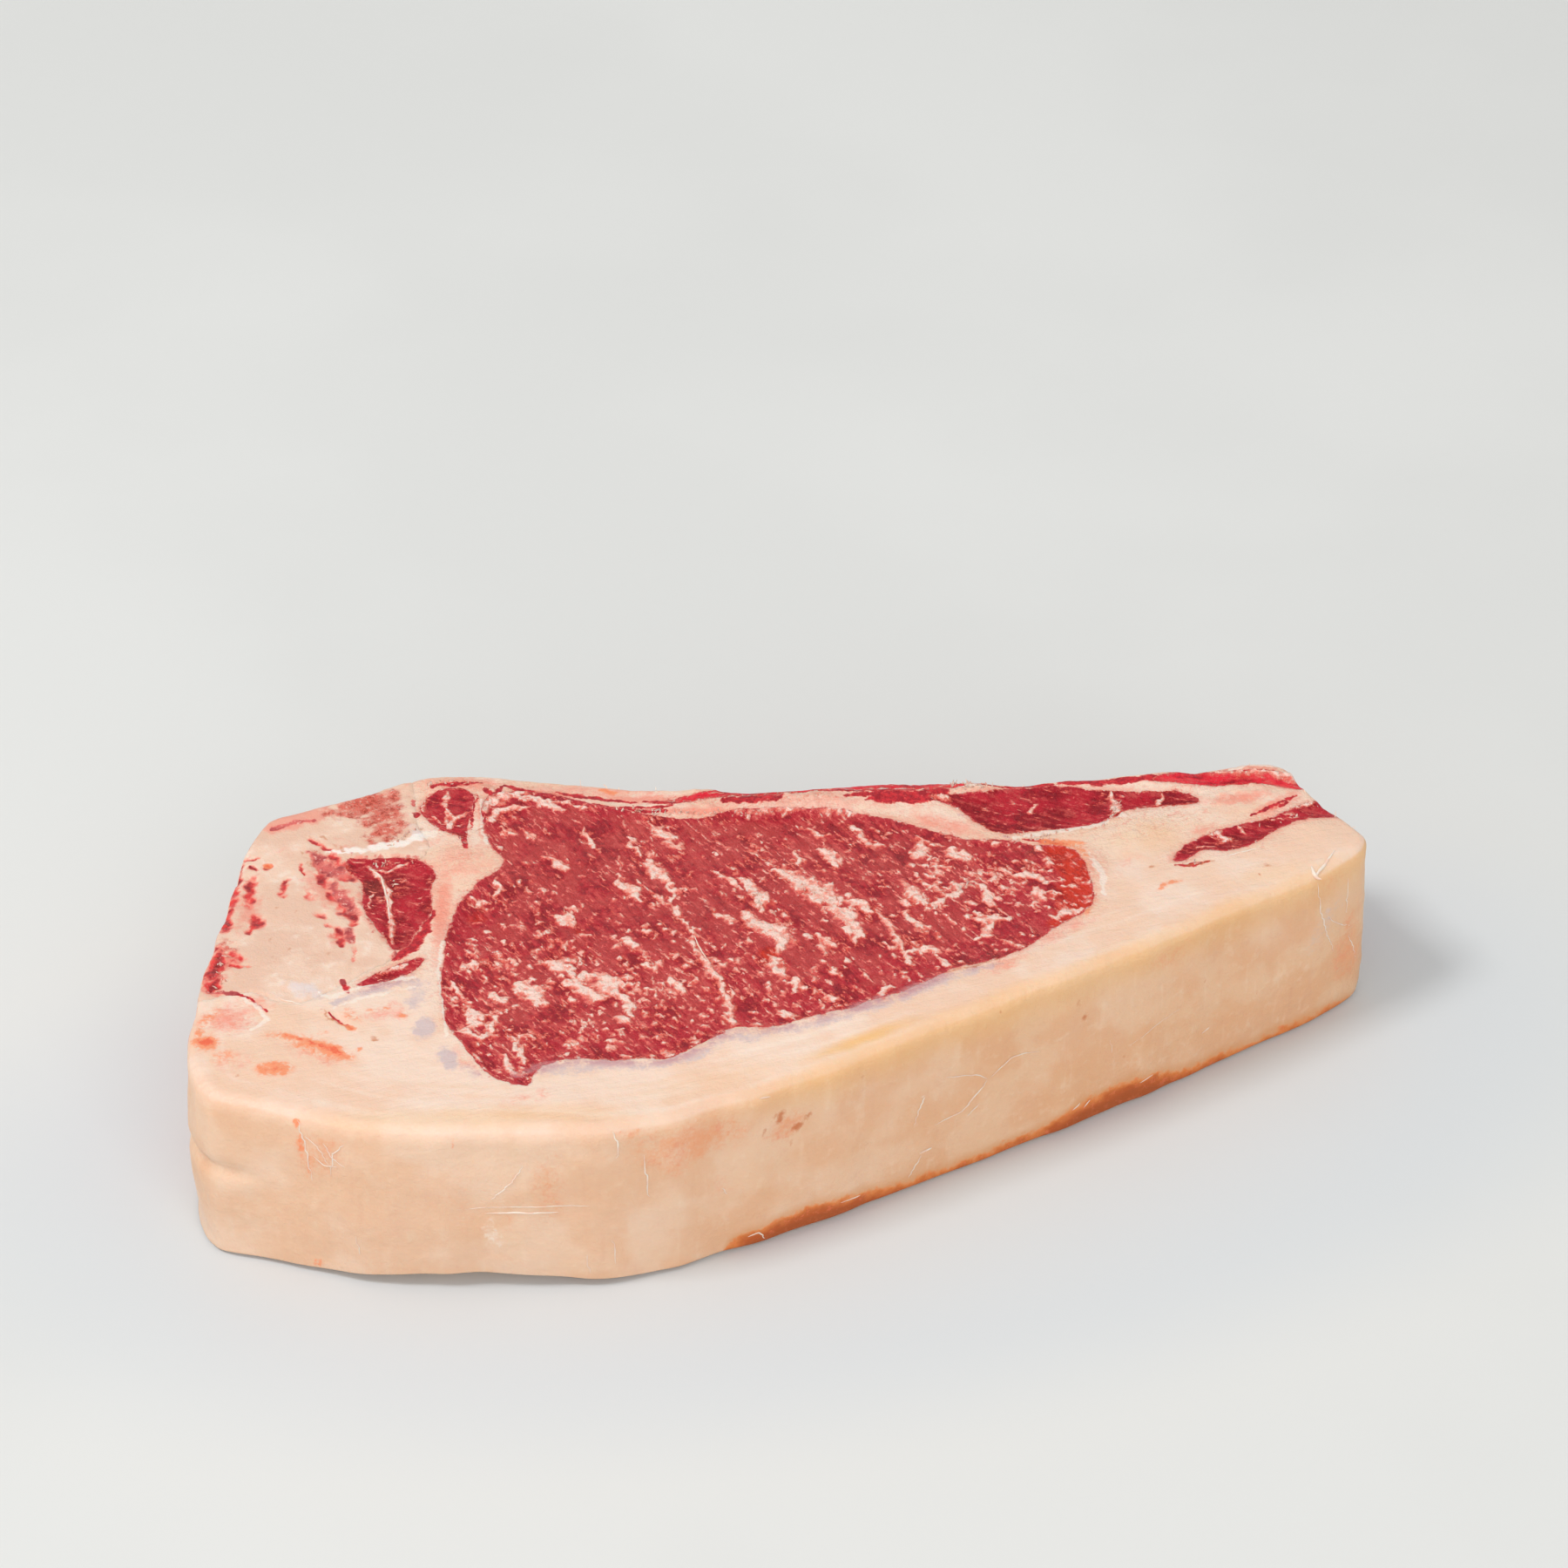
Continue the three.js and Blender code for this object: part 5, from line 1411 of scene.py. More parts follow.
# %% The lean finish
def lean_finish(name, deep, plain, aired, fibre_turn, gloss=0.4):
    """Lean in three tones, from the freshest to the most aired, with its fibres turned by degrees."""
    f = Finish(name)
    streak = f.vary((8.0, 1.2, 2.0), 3, fibre_turn)
    blotch = f.vary(6.0, 3, 0, 3.1)
    lump = f.vary(1.5, 3, 0, 7.7, 0.6)
    fine = f.vary(0.5, 3, 0, 5.7, 0.6)
    crowd = f.mask("specks")
    drawn = f.mask("marbling") * 1.25 + lump * 0.45 + fine * 0.12
    medium = f.flecks((4.6, 2.0, 2.6), fibre_turn + 12, 1.3, crowd * 0.72) + fine * 0.14
    small = f.flecks((2.3, 1.15, 1.5), fibre_turn - 10, 2.1, crowd * 0.8) + fine * 0.14
    strewn = f.vary((2.6, 1.0, 1.6), 3, fibre_turn + 8, 12.3, 0.6) * 1.2 - 1.25 + crowd * 0.8 + fine * 0.1
    teeth = (0.05 - f.mask("lean_gap")) * 1.5 + lump * 0.6 + fine * 0.3
    marbling = drawn.top(medium).top(small).top(strewn).top(teeth)
    fresh = f.mask("fresh") + blotch * 0.45
    f.colour = f.mix(aired, plain, fresh.ease(0.1, 0.65))
    f.coat(deep, fresh.ease(0.5, 1.2) * 0.85)
    dark = (lump * 0.4 + streak * 0.4 + fine * 0.12 + blotch * 0.5).ease(-0.1, 0.8)
    light = (fine * 0.2 - streak * 0.5 - lump * 0.5).ease(0.0, 0.8)
    f.coat((124, 0, 24), dark * 0.66)
    f.coat((230, 104, 96), light * 0.42)
    f.coat((110, 54, 42), f.mask("dry") * (blotch * 0.4 + fine * 0.4).ease(-0.4, 0.6) * 0.75)
    blood = (f.mask("blood") + blotch * 0.18 + fine * 0.12).ease(0.05, 0.8)
    f.coat(f.mix((216, 46, 10), (170, 14, 4), dark), blood * 0.94)
    haze = f.mix((226, 84, 88), (240, 92, 68), (blotch * 0.6 + 0.5).ease(0.3, 0.9))
    f.coat(haze, marbling.ease(-0.6, 0.0) * 0.65)
    f.coat((255, 130, 114), marbling.ease(-0.32, 0.2) * 0.92)
    f.coat((255, 176, 158), marbling.ease(0.1, 0.6))
    # The palest tone on the thickest flecks: partly the whiter fat at their middle, partly a painted
    # highlight on their raised tops.
    f.coat((255, 220, 206), (marbling + fine * 0.3 + lump * 0.45).ease(0.65, 1.2) * 0.9)
    f.coat((214, 160, 162), (f.mask("skin") + lump * 0.2).ease(0.25, 1.0) * 0.6)
    # Painted highlight: small white glints strewn over the flecks and their edges, painted into the colour
    # as wet sparkle.
    glint = f.vary(0.42, 1, 0, 9.1).ease(0.95, 1.3) * marbling.ease(-0.4, 0.3)
    f.coat((255, 246, 240), glint * 0.7)
    wet = (fine * 0.6 + lump * 0.4).ease(0.0, 0.8)
    soft = 1 - marbling.ease(-0.2, 0.4) * 0.75
    relief = (fine * 0.18 + streak * 0.3 + f.vary(0.26, 1, 0, 2.2) * 0.05) * soft + lump * 0.24
    relief = relief + marbling.ease(-0.2, 0.6) * (lump * 0.3 + 0.9)
    return f.surface(
        Base_Color=f.colour,
        Roughness=0.52 - wet * 0.28,
        Normal=f.bump(relief, 0.5, 0.75),
        Subsurface_Weight=0.2,
        Subsurface_Radius=(1.0, 0.3, 0.2),
        Subsurface_Scale=0.0008,
        Specular_IOR_Level=gloss,
    )


# %% [markdown]
# ## Fat
# Fat is waxy and lets light in, so its shadows are soft and warm. The trimmed side is peach, and the cut
# face is paler and banded in the layers that the fat grew in. Near bone and lean it flushes pink and is
# curdled, with scraps of red muscle held in it along the torn back edge.

# %% The fat finish
def fat_finish(name):
    """Fat and all that lies on it: flush, curd, scraps of meat, skins, stains and the brown edge."""
    f = Finish(name)
    slow = f.vary(14.0, 3, 0, 1.7)
    mottle = f.vary(3.2, 3, 0, 4.1)
    lump = f.vary(1.5, 3, 0, 7.7, 0.6)
    fine = f.vary(0.6, 3, 0, 6.3, 0.6)
    broken = mottle * 0.16 + lump * 0.2 + fine * 0.14
    layer = f.mask("layer")
    curd = f.mask("curd")
    f.colour = f.mix((248, 218, 198), (244, 206, 180), slow.ease(-0.6, 0.6))
    f.coat((252, 232, 216), (layer + fine * 0.1 + lump * 0.1).ease(0.1, 0.9) * 0.45)
    f.coat((240, 200, 166), (0 - layer + lump * 0.1).ease(0.1, 0.9) * 0.4)
    warm = f.mask("peach").ease(0.6, 0.95)
    side = f.mix(f.mix((240, 200, 166), (236, 190, 152), slow.ease(-0.5, 0.5)),
                 f.mix((238, 193, 154), (234, 181, 138), slow.ease(-0.5, 0.5)), warm)
    side = f.mix(side, (246, 212, 180), (lump * 0.4 + mottle * 0.5).ease(0.1, 1.1) * 0.4)
    side = f.mix(side, (226, 168, 132), (fine * 0.3 - mottle * 0.5 - lump * 0.2).ease(0.2, 1.0) * 0.35)
    drips = f.vary((2.2, 2.2, 16.0), 3, 0, 5.2)
    side = f.mix(side, (228, 172, 134), (drips * 0.5 + slow * 0.2).ease(0.2, 1.0) * 0.4)
    side = f.mix(side, (248, 216, 186), (0 - drips * 0.5 + mottle * 0.2).ease(0.2, 1.0) * 0.35)
    f.coat(side, f.mask("peach"))
    f.coat((244, 192, 126), f.mask("gold") * 0.75)
    flush = f.torn("flush", broken * 0.75).ease(0.1, 0.95)
    peach = f.mask("peach").ease(0.2, 0.5)
    f.coat(f.mix((246, 146, 124), (240, 158, 110), peach), flush * (0.85 - peach * 0.1))
    folds = f.node("ShaderNodeMath", {"operation": "ABSOLUTE"}, [f.vary((7.0, 2.6, 4.0), 3, 24, 4.4)])
    folds = (0.22 - folds).ease(0.0, 0.22)
    f.coat((238, 148, 124), folds * (flush * 0.35 + curd * 0.3))
    pale_curd = (lump * 0.5 + fine * 0.4 + mottle * 0.2).ease(-0.1, 0.8) * curd
    f.coat((252, 214, 194), pale_curd * 0.7)
    red_curd = (fine * 0.45 - lump * 0.6).ease(0.2, 0.9) * curd
    f.coat((236, 104, 90), red_curd * 0.6)
    teeth = (0.3 - f.mask("lean_gap") * 1.1 + fine * 0.2 - lump * 0.7).ease(0.0, 0.7)
    f.coat((228, 100, 92), teeth * 0.7)
    meat = f.torn("meat", broken * 0.9)
    f.coat((240, 120, 106), meat.ease(0.25, 0.55) * 0.8)
    red = f.mix((216, 40, 50), (166, 10, 32), (lump * 0.5 + fine * 0.3).ease(-0.4, 0.5))
    f.coat(red, meat.ease(0.36, 0.75))
    skin = (f.torn("skin", broken * 0.9)).ease(0.2, 1.0)
    pearl = f.mix((200, 148, 157), (213, 192, 192), f.mask("lean_gap").ease(0.6, 3.0))
    f.coat(pearl, skin * 0.85)
    f.coat((252, 234, 220), (f.torn("white", broken * 0.8)).ease(0.3, 0.9) * 0.75)
    f.coat((206, 116, 62), (f.torn("rust", broken * 0.8)).ease(0.25, 1.0) * 0.8)
    blood = f.torn("blood", broken)
    f.coat((252, 148, 100), blood.ease(0.0, 0.5) * 0.85)
    f.coat((240, 84, 46), blood.ease(0.6, 1.2) * 0.75)
    crust = f.mask("crust") + mottle * 0.6 + lump * 0.35 + fine * 0.15
    baked = (mottle * 0.3 + f.mask("crust") * 0.4).ease(-0.3, 0.9)
    brown = f.mix((244, 148, 74), (196, 92, 30), baked)
    brown = f.mix(brown, (246, 134, 92), (lump * 0.5 + fine * 0.3).ease(0.1, 0.7) * 0.45)
    brown = f.mix(brown, (156, 76, 24), f.mask("crust").ease(1.8, 3.0) * 0.45)
    f.coat((224, 156, 98), f.mask("crust").ease(-2.8, -0.3) * 0.5)
    f.coat(brown, crust.ease(-0.9, 0.5) * 0.97)
    grain = f.vary((7.0, 0.9, 2.0), 3, 18, 3.3)
    relief = mottle * 0.16 + lump * (0.1 + curd * 0.5) + fine * (0.05 + curd * 0.3)
    relief = relief + grain * 0.14 + drips * 0.05 - folds * (curd * 0.3 + 0.1)
    return f.surface(
        Base_Color=f.colour,
        Roughness=0.5 - slow * 0.04 + mottle * 0.05,
        Normal=f.bump(relief, 0.34, 0.6),
        Subsurface_Weight=0.35,
        Subsurface_Radius=(1.0, 0.6, 0.42),
        Subsurface_Scale=0.0011,
        Specular_IOR_Level=0.42,
    )


# %% [markdown]
# ## Bone
# The saw leaves bone smooth and cream, with red marrow in its pores near the rim, spongy parts soaked in
# red at the back, and gristle like clouded glass between the bones.

# %% The bone finish
def bone_finish(name):
    """Sawn bone with marrow, spongy parts, gristle and stains."""
    f = Finish(name)
    slow = f.vary(9.0, 3, 0, 2.7)
    mottle = f.vary(2.4, 3, 0, 1.1)
    lump = f.vary(1.3, 3, 0, 7.7, 0.6)
    fine = f.vary(0.5, 3, 0, 8.3, 0.6)
    broken = mottle * 0.3 + lump * 0.1 + fine * 0.03
    f.colour = f.mix((236, 196, 172), (243, 208, 185), slow.ease(-0.5, 0.5))
    f.coat((254, 238, 224), (mottle * 0.5 + slow * 0.4).ease(0.1, 0.9) * 0.45)
    flush = f.torn("flush", broken * 1.1).ease(0.15, 0.9)
    f.coat((240, 150, 130), flush * 0.7)
    soaked = f.torn("dry", broken).ease(0.1, 0.7)
    f.coat((224, 88, 70), soaked * 0.85)
    pits = (fine * 0.5 - lump * 0.45 + mottle * 0.25).ease(0.05, 0.6) * soaked
    crumbs = (lump * 0.5 + fine * 0.5).ease(0.2, 0.9) * soaked
    f.coat((176, 58, 36), pits * 0.85)
    f.coat((250, 214, 194), crumbs * 0.75)
    f.coat((232, 216, 212), (f.torn("skin", broken)).ease(0.2, 1.0) * 0.85)
    f.coat((255, 244, 236), (f.torn("white", broken)).ease(0.3, 0.9) * 0.85)
    marrow = f.torn("marrow", broken * 1.2)
    red = f.mix((236, 56, 54), (160, 14, 32), (mottle * 0.5 + slow * 0.3).ease(-0.4, 0.7))
    f.coat((246, 138, 120), marrow.ease(0.02, 0.5) * 0.85)
    f.coat(red, marrow.ease(0.4, 0.85) * 0.95)
    f.coat((112, 12, 24), marrow.ease(0.95, 1.5) * 0.7)
    f.coat((252, 206, 188), (lump * 0.5 - fine * 0.4).ease(0.4, 0.9) * marrow.ease(0.2, 0.6) * 0.25)
    meat = f.torn("meat", broken)
    dusky = f.mix((222, 104, 98), (160, 38, 50), (mottle * 0.5 + slow * 0.3).ease(-0.5, 0.6))
    f.coat((240, 136, 122), meat.ease(0.1, 0.5) * 0.8)
    f.coat(dusky, meat.ease(0.3, 0.75) * 0.92)
    f.coat((246, 190, 174), (lump * 0.5 - fine * 0.5).ease(0.3, 0.8) * meat.ease(0.2, 0.6) * 0.8)
    teeth = (0.4 - f.mask("lean_gap") * 0.7 + fine * 0.2 - lump * 0.8).ease(0.0, 0.8)
    f.coat((214, 92, 84), teeth * 0.8)
    blood = f.torn("blood", broken)
    f.coat((252, 148, 100), blood.ease(0.0, 0.5) * 0.85)
    f.coat((240, 82, 46), blood.ease(0.6, 1.2) * 0.8)
    f.coat((206, 126, 78), (f.torn("rust", broken)).ease(0.25, 1.0) * 0.7)
    rough = soaked * 0.6 + 0.3
    wet = marrow.ease(0.4, 0.8)
    relief = (mottle * 0.2 + lump * 0.4 + fine * 0.3) * rough - marrow.ease(0.3, 0.9) * 0.5
    return f.surface(
        Base_Color=f.colour,
        Roughness=0.5 - wet * 0.2,
        Normal=f.bump(relief, 0.4, 0.6),
        Subsurface_Weight=0.3,
        Subsurface_Radius=(1.0, 0.6, 0.42),
        Subsurface_Scale=0.0008,
        Specular_IOR_Level=0.45,
    )


# %% Make the pieces
marbled_lean = lean_finish("marbled lean", (176, 2, 34), (190, 26, 44), (190, 56, 56), -60)
dark_lean = lean_finish("dark lean", (152, 0, 22), (194, 22, 44), (196, 60, 62), -20, 0.3)
bright_lean = lean_finish("bright lean", (220, 20, 46), (244, 40, 60), (248, 92, 88), 6, 0.3)
waxy_fat = fat_finish("waxy fat")
sawn_bone = bone_finish("sawn bone")
NAMES = {
    "loin_eye": ("marbled_eye", marbled_lean, "lean"),
    "multifidus": ("backbone_muscle", dark_lean, "dark_lean"),
    "flank_muscle": ("long_flank_muscle", dark_lean, "dark_lean"),
    "back_strip": ("thin_back_muscle", bright_lean, "dark_lean"),
    "tail_strip": ("thin_tail_muscle", bright_lean, "dark_lean"),
    "tail_muscle": ("slanting_tail_muscle", dark_lean, "dark_lean"),
    "corner_muscle": ("small_corner_muscle", dark_lean, "dark_lean"),
    "multifidus_slip": ("muscle_slip", dark_lean, "dark_lean"),
    "bone": ("sawn_backbone", sawn_bone, "bone"),
    "fat_cap": ("wrapping_fat", waxy_fat, "fat"),
}
for index, node in enumerate(PIECES):
    name, material, slot = NAMES[node]
    piece = mesh_piece(index, name, material)
    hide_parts(node)
    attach(piece, "root")

# %% [markdown]
# ## Threads and crumbs
# Wet meat is never clean. Torn membrane leaves fine pale threads on the trimmed side, short ends stand up
# along the torn back edge, and knife and saw leave crumbs of fat by the seams. They could be modelled one
# by one, but each follows something that is already there, a line on the side or the face itself. So
# Geometry Nodes makes them: one tree turns lines into threads, and one strews lumps over a surface.

# %% A Geometry Nodes tree with named inputs
class Recipe(Sheet):
    """A Geometry Nodes tree: it takes a guide mesh and grows something along it."""

    def __init__(self, name, **settings):
        super().__init__(bpy.data.node_groups.new(name, "GeometryNodeTree"))
        sockets = self.tree.interface
        sockets.new_socket("Guide", in_out="INPUT", socket_type="NodeSocketGeometry")
        sockets.new_socket("Grown", in_out="OUTPUT", socket_type="NodeSocketGeometry")
        self.keys = {}
        for label, start in settings.items():
            kind = "NodeSocketInt" if isinstance(start, int) else "NodeSocketFloat"
            socket = sockets.new_socket(label, in_out="INPUT", socket_type=kind)
            socket.default_value = start
            self.keys[label] = socket.identifier
        self.entry = self.tree.nodes.new("NodeGroupInput")

    def given(self, label):
        """The value of a named input."""
        return Term(self, self.entry.outputs[label])

    def ends_in(self, geometry, material):
        """Ends the tree with this geometry, painted with a material."""
        whole = self.node("GeometryNodeRealizeInstances", None, {"Geometry": geometry})
        painted = self.node("GeometryNodeSetMaterial", None, {"Geometry": whole, "Material": material})
        leave = self.tree.nodes.new("NodeGroupOutput")
        self.tree.links.new(painted.socket, leave.inputs["Grown"])

    def grow(self, name, guide, **values):
        """Runs the tree on a guide mesh and returns what it grew as an ordinary mesh object."""
        seedling = put_in_scene(name + " guide", guide)
        modifier = seedling.modifiers.new("grow", "NODES")
        modifier.node_group = self.tree
        for label, value in values.items():
            modifier[self.keys[label]] = value
        finished = seedling.evaluated_get(bpy.context.evaluated_depsgraph_get())
        grown = bpy.data.meshes.new_from_object(finished)
        seedling.modifiers.remove(modifier)
        bpy.data.objects.remove(seedling)
        grown.name = name
        grown.shade_smooth()
        triangle_count = sum(len(face.vertices) - 2 for face in grown.polygons)
        print(f"{name}: {len(grown.vertices)} points, {triangle_count} triangles")
        return put_in_scene(name, grown)


def guide_mesh(name, points, edges, faces, label, values):
    """A bare mesh in metres from points in mm, with one number at each point."""
    mesh = bpy.data.meshes.new(name)
    mesh.from_pydata([tuple(p) for p in np.asarray(points) * MM], edges, faces)
    mesh.attributes.new(label, "FLOAT", "POINT").data.foreach_set("value", np.asarray(values, np.float32))
    return mesh


# %% The threads' lines: on the side as (x, z, radius), on the face as (x, y, radius), in mm
SIDE_THREADS = [
    [(-58, 18.3, 0.16), (-52, 18.6, 0.24), (-44, 18.3, 0.14)],
    [(-64, 19.4, 0.08), (-50, 20, 0.12), (-38, 19.6, 0.1)],
    [(-57, 21.4, 0.1), (-53, 25.4, 0.16), (-50.6, 29.6, 0.1)],
    [(-92.9, 36, 0.12), (-91.5, 31, 0.14), (-90.4, 22.6, 0.1)],
    [(-91.4, 33, 0.1), (-88.6, 30.6, 0.14), (-87.2, 27.4, 0.1)],
    [(-84, 33, 0.1), (-86.4, 30, 0.16), (-86.6, 25, 0.1)],
    [(-84.2, 28, 0.1), (-86.4, 29.6, 0.14), (-88, 32.4, 0.1)],
    [(-90, 29, 0.1), (-88, 27.2, 0.12), (-85.4, 27.6, 0.1)],
    [(-33.7, 36.4, 0.12), (-32.9, 33.4, 0.22), (-33.2, 30.4, 0.12)], [(-39.4, 8, 0.1), (-38.6, 3.4, 0.14)],
    [(-34, 5, 0.08), (-34.2, 11, 0.1)], [(-28.2, 30, 0.1), (-27.8, 24, 0.16), (-27.4, 19.6, 0.12)],
    [(37.4, 20.6, 0.16), (34.4, 17, 0.2), (32, 14.9, 0.16), (27, 14, 0.1)],
    [(37.3, 20.6, 0.12), (35.6, 22.4, 0.14), (29, 24.8, 0.08)],
    [(37.6, 20.8, 0.14), (42, 23.6, 0.14), (44.6, 23.4, 0.12), (47.8, 22.4, 0.08)],
    [(33.2, 13.2, 0.08), (35.6, 15.4, 0.1)], [(22.8, 16, 0.08), (23.6, 19, 0.12), (24.8, 22, 0.24)],
    [(24.2, 8.5, 0.2), (26.4, 8.7, 0.24)], [(22.2, 3, 0.08), (23.6, 6, 0.14), (24.6, 8, 0.14)],
    [(-6.2, 35, 0.14), (-4, 34.8, 0.16)],
    [(104, 35, 0.1), (104.6, 28, 0.14), (106, 22, 0.12), (108, 16, 0.08)],
    [(110.6, 33, 0.08), (110.2, 27, 0.12), (110.8, 22, 0.1)],
    [(106, 26, 0.08), (108.5, 22.6, 0.12), (111.4, 20, 0.1)],
    [(111, 18, 0.08), (112.4, 14, 0.12), (113, 10, 0.08)],
    [(-9, 2.8, 0.14), (-6.8, 3.3, 0.2), (-5.4, 1.2, 0.16)], [(8.6, 3.9, 0.1), (12.6, 3.6, 0.18)],
    [(61.6, 18.8, 0.07), (62.2, 15, 0.08)], [(66, 15, 0.05), (71, 18, 0.08), (76, 19.4, 0.05)],
    [(54.6, 4.6, 0.1), (56.4, 5.6, 0.16)], [(57, 3.8, 0.1), (58.4, 5.2, 0.14)],
    [(68.4, 4.4, 0.1), (71, 5.2, 0.16)], [(-82.6, 12, 0.07), (-82, 7, 0.09)],
    [(-13.8, 17, 0.1), (-13, 15, 0.1)], [(80.6, 10, 0.08), (82.4, 10.8, 0.16)],
]
FACE_THREADS = [
    [(102.6, 24.8, 0.2), (103.2, 22.4, 0.5), (104.6, 21.6, 0.3)],
    [(103.4, 22.4, 0.4), (105.6, 25.8, 0.34), (108, 30, 0.1)],
    [(-19.6, 1.4, 0.1), (-18.2, -3, 0.2), (-16.4, -8, 0.16)],
    [(-84.6, 24.4, 0.16), (-81.6, 21, 0.26), (-80, 14, 0.22), (-79, 6, 0.16)],
    [(-101, -17.4, 0.1), (-98, -20, 0.2), (-94, -21, 0.1)],
    [(86, 28.2, 0.1), (89, 29.4, 0.16), (93, 30.6, 0.1)],
]
side_grid = side_points.reshape(len(rim), SIDE_ROWS, 3)
front_columns = np.where(side_normal[:, 1] < -0.05)[0]
face_finder = Nearby(plan)


def spread_line(line, step=0.5):
    """Points every step mm along a line of (x, y, radius)."""
    line = np.array(line)
    along = np.concatenate([[0], np.cumsum(np.linalg.norm(np.diff(line[:, :2], axis=0), axis=1))])
    at = np.linspace(0, along[-1], max(4, int(along[-1] / step)))
    return np.column_stack([np.interp(at, along, line[:, i]) for i in range(3)])


def on_side(x, z):
    """The point of the front side at x and height z."""
    column = side_grid[front_columns[np.abs(side_plan[front_columns, 0] - x).argmin()]][::-1]
    return [np.interp(z, column[:, 2], column[:, 0]), np.interp(z, column[:, 2], column[:, 1]), z]


def frayed_ends(count, seed):
    """Short curling lines that stand up from the back edge, as (x, y, z, radius)."""
    pick = np.random.default_rng(seed)
    back = np.where((side_normal[:, 1] > 0.3) & (side_plan[:, 1] > 34))[0]
    lines = []
    for k in pick.choice(back, count):
        lean_out = side_normal[k] * pick.uniform(0.1, 1.0) + pick.normal(0, 0.6, 2)
        length, bend = pick.uniform(0.4, 1.3), pick.normal(0, 0.6, 2)
        t = np.linspace(0, 1, 6)[:, None]
        flat = plan[rim[k]] - side_normal[k] * pick.uniform(0, 1.2) + (lean_out * t + bend * t**2) * length
        z = upper_z[rim[k]] + (pick.uniform(-0.3, 0.5) * t + pick.normal(0, 0.3) * t**2) * length - 0.1
        lines.append(np.hstack([flat, z, np.full((6, 1), pick.uniform(0.05, 0.14))]))
    return lines


thread_lines = []
for line in map(spread_line, SIDE_THREADS):
    thread_lines.append(np.array([on_side(x, z) + [thick] for x, z, thick in line]))
for line in map(spread_line, FACE_THREADS):
    level = upper_z[face_finder.find(line[:, :2])[0]]
    thread_lines.append(np.column_stack([line[:, :2], level, line[:, 2]]))
FRAYED_COUNT = 46
thread_lines += frayed_ends(FRAYED_COUNT, 23)
print(f"{len(thread_lines)} threads")

# %% Grow the threads
pale_membrane = Finish("pale membrane")
uneven = pale_membrane.vary(3.0).ease(-0.4, 0.5)
pale_membrane.surface(
    Base_Color=pale_membrane.mix((252, 232, 216), (248, 212, 192), uneven),
    Roughness=0.42,
    Subsurface_Weight=0.3,
    Subsurface_Radius=(1.0, 0.7, 0.5),
    Subsurface_Scale=0.0004,
)
threads = Recipe("threads along lines", Thickness=1.0, Wobble=0.0004, Seed=3)
line = threads.node("GeometryNodeMeshToCurve", None, {"Mesh": threads.given("Guide")})
line = threads.node("GeometryNodeResampleCurve", {"mode": "LENGTH"}, {"Curve": line, "Length": 0.4 * MM})
shift = threads.drift(None, 2.6, threads.given("Wobble"), threads.given("Seed"))
line = threads.node("GeometryNodeSetPosition", None, {"Geometry": line, "Offset": shift})
thick = threads.node("GeometryNodeInputNamedAttribute", {"data_type": "FLOAT"}, {"Name": "thick"})
along = threads.node("GeometryNodeSplineParameter", give="Factor")
taper = threads.node("ShaderNodeMath", {"operation": "POWER"}, [along * (1 - along) * 4, 0.5])
radius = thick * threads.given("Thickness") * (taper * 0.85 + 0.15) * MM
ring = threads.node("GeometryNodeCurvePrimitiveCircle", None, {"Resolution": 6, "Radius": 1.0})
tube = {"Curve": line, "Profile Curve": ring, "Scale": radius, "Fill Caps": True}
threads.ends_in(threads.node("GeometryNodeCurveToMesh", None, tube), pale_membrane.material)

sizes = [len(line) for line in thread_lines]
starts = np.concatenate([[0], np.cumsum(sizes)])
pairs = [(int(a) + i, int(a) + i + 1) for a, size in zip(starts, sizes) for i in range(size - 1)]
guide_points = np.vstack(thread_lines)
guide = guide_mesh("lines", guide_points[:, :3], pairs, [], "thick", guide_points[:, 3])
membrane = threads.grow("membrane_threads", guide, Thickness=1.0, Seed=3)

# %% Strew the crumbs over the parts of the face where they gather
CRUMB_PATCHES = [
    (-24, 42.2, 0.9, 14, -3, 1.0), (-8, 41.6, 0.7, 8, 0, 0.6), (36, 50.4, 1.4, 6, 0, 1.0),
    (47, 34.6, 1.6, 5, 0, 0.9), (64.8, 44.6, 1.2, 2.6, 80, 0.9), (57, 37.8, 0.6, 7, 15, 0.5),
    (-78, 34, 1.2, 6, 40, 0.5), (-110.6, -12, 1.2, 6, 88, 0.5), (-81, 25.4, 0.8, 6, 0, 0.7),
    (-79.6, 16, 0.6, 7, 85, 0.6), (-62.2, 42, 0.8, 8, 90, 0.5), (80, 25.6, 0.8, 5, 10, 0.7),
    (-6, 11, 1.8, 5, -60, 0.25), (-44, 9.5, 1.2, 3, -50, 0.3), (5, 14, 1.6, 6, -48, 0.3),
    (104, 22.6, 0.6, 2, 0, 0.4), (99, 41, 0.6, 6, 20, 0.4), (-71, 52.6, 1.2, 9, 0, 0.5),
    (33, 17, 1.2, 3, 60, 0.35),
]
spread = patches(shake(plan), CRUMB_PATCHES)
crumby = triangles[(spread[triangles] > 0.02).all(axis=1)]
used, local = np.unique(crumby, return_inverse=True)
face = np.column_stack([plan, upper_z])
ground = guide_mesh("crumb ground", face[used], [], local.reshape(-1, 3).tolist(), "spread", spread[used])
crumb_fat = Finish("crumbs of fat")
uneven = crumb_fat.vary(2.4).ease(-0.3, 0.6)
crumb_fat.surface(
    Base_Color=crumb_fat.mix((254, 216, 198), (246, 166, 148), uneven),
    Roughness=0.45,
    Subsurface_Weight=0.3,
    Subsurface_Radius=(1.0, 0.6, 0.4),
    Subsurface_Scale=0.0005,
)
CRUMBS_PER_M2, CRUMB_SIZE, CRUMB_SEED = 2.0e6, 0.42, 5
crumbs = Recipe("lumps on a surface", Density=CRUMBS_PER_M2, Size=CRUMB_SIZE, Seed=CRUMB_SEED)
density = crumbs.node("GeometryNodeInputNamedAttribute", {"data_type": "FLOAT"}, {"Name": "spread"})
density = density * crumbs.given("Density")
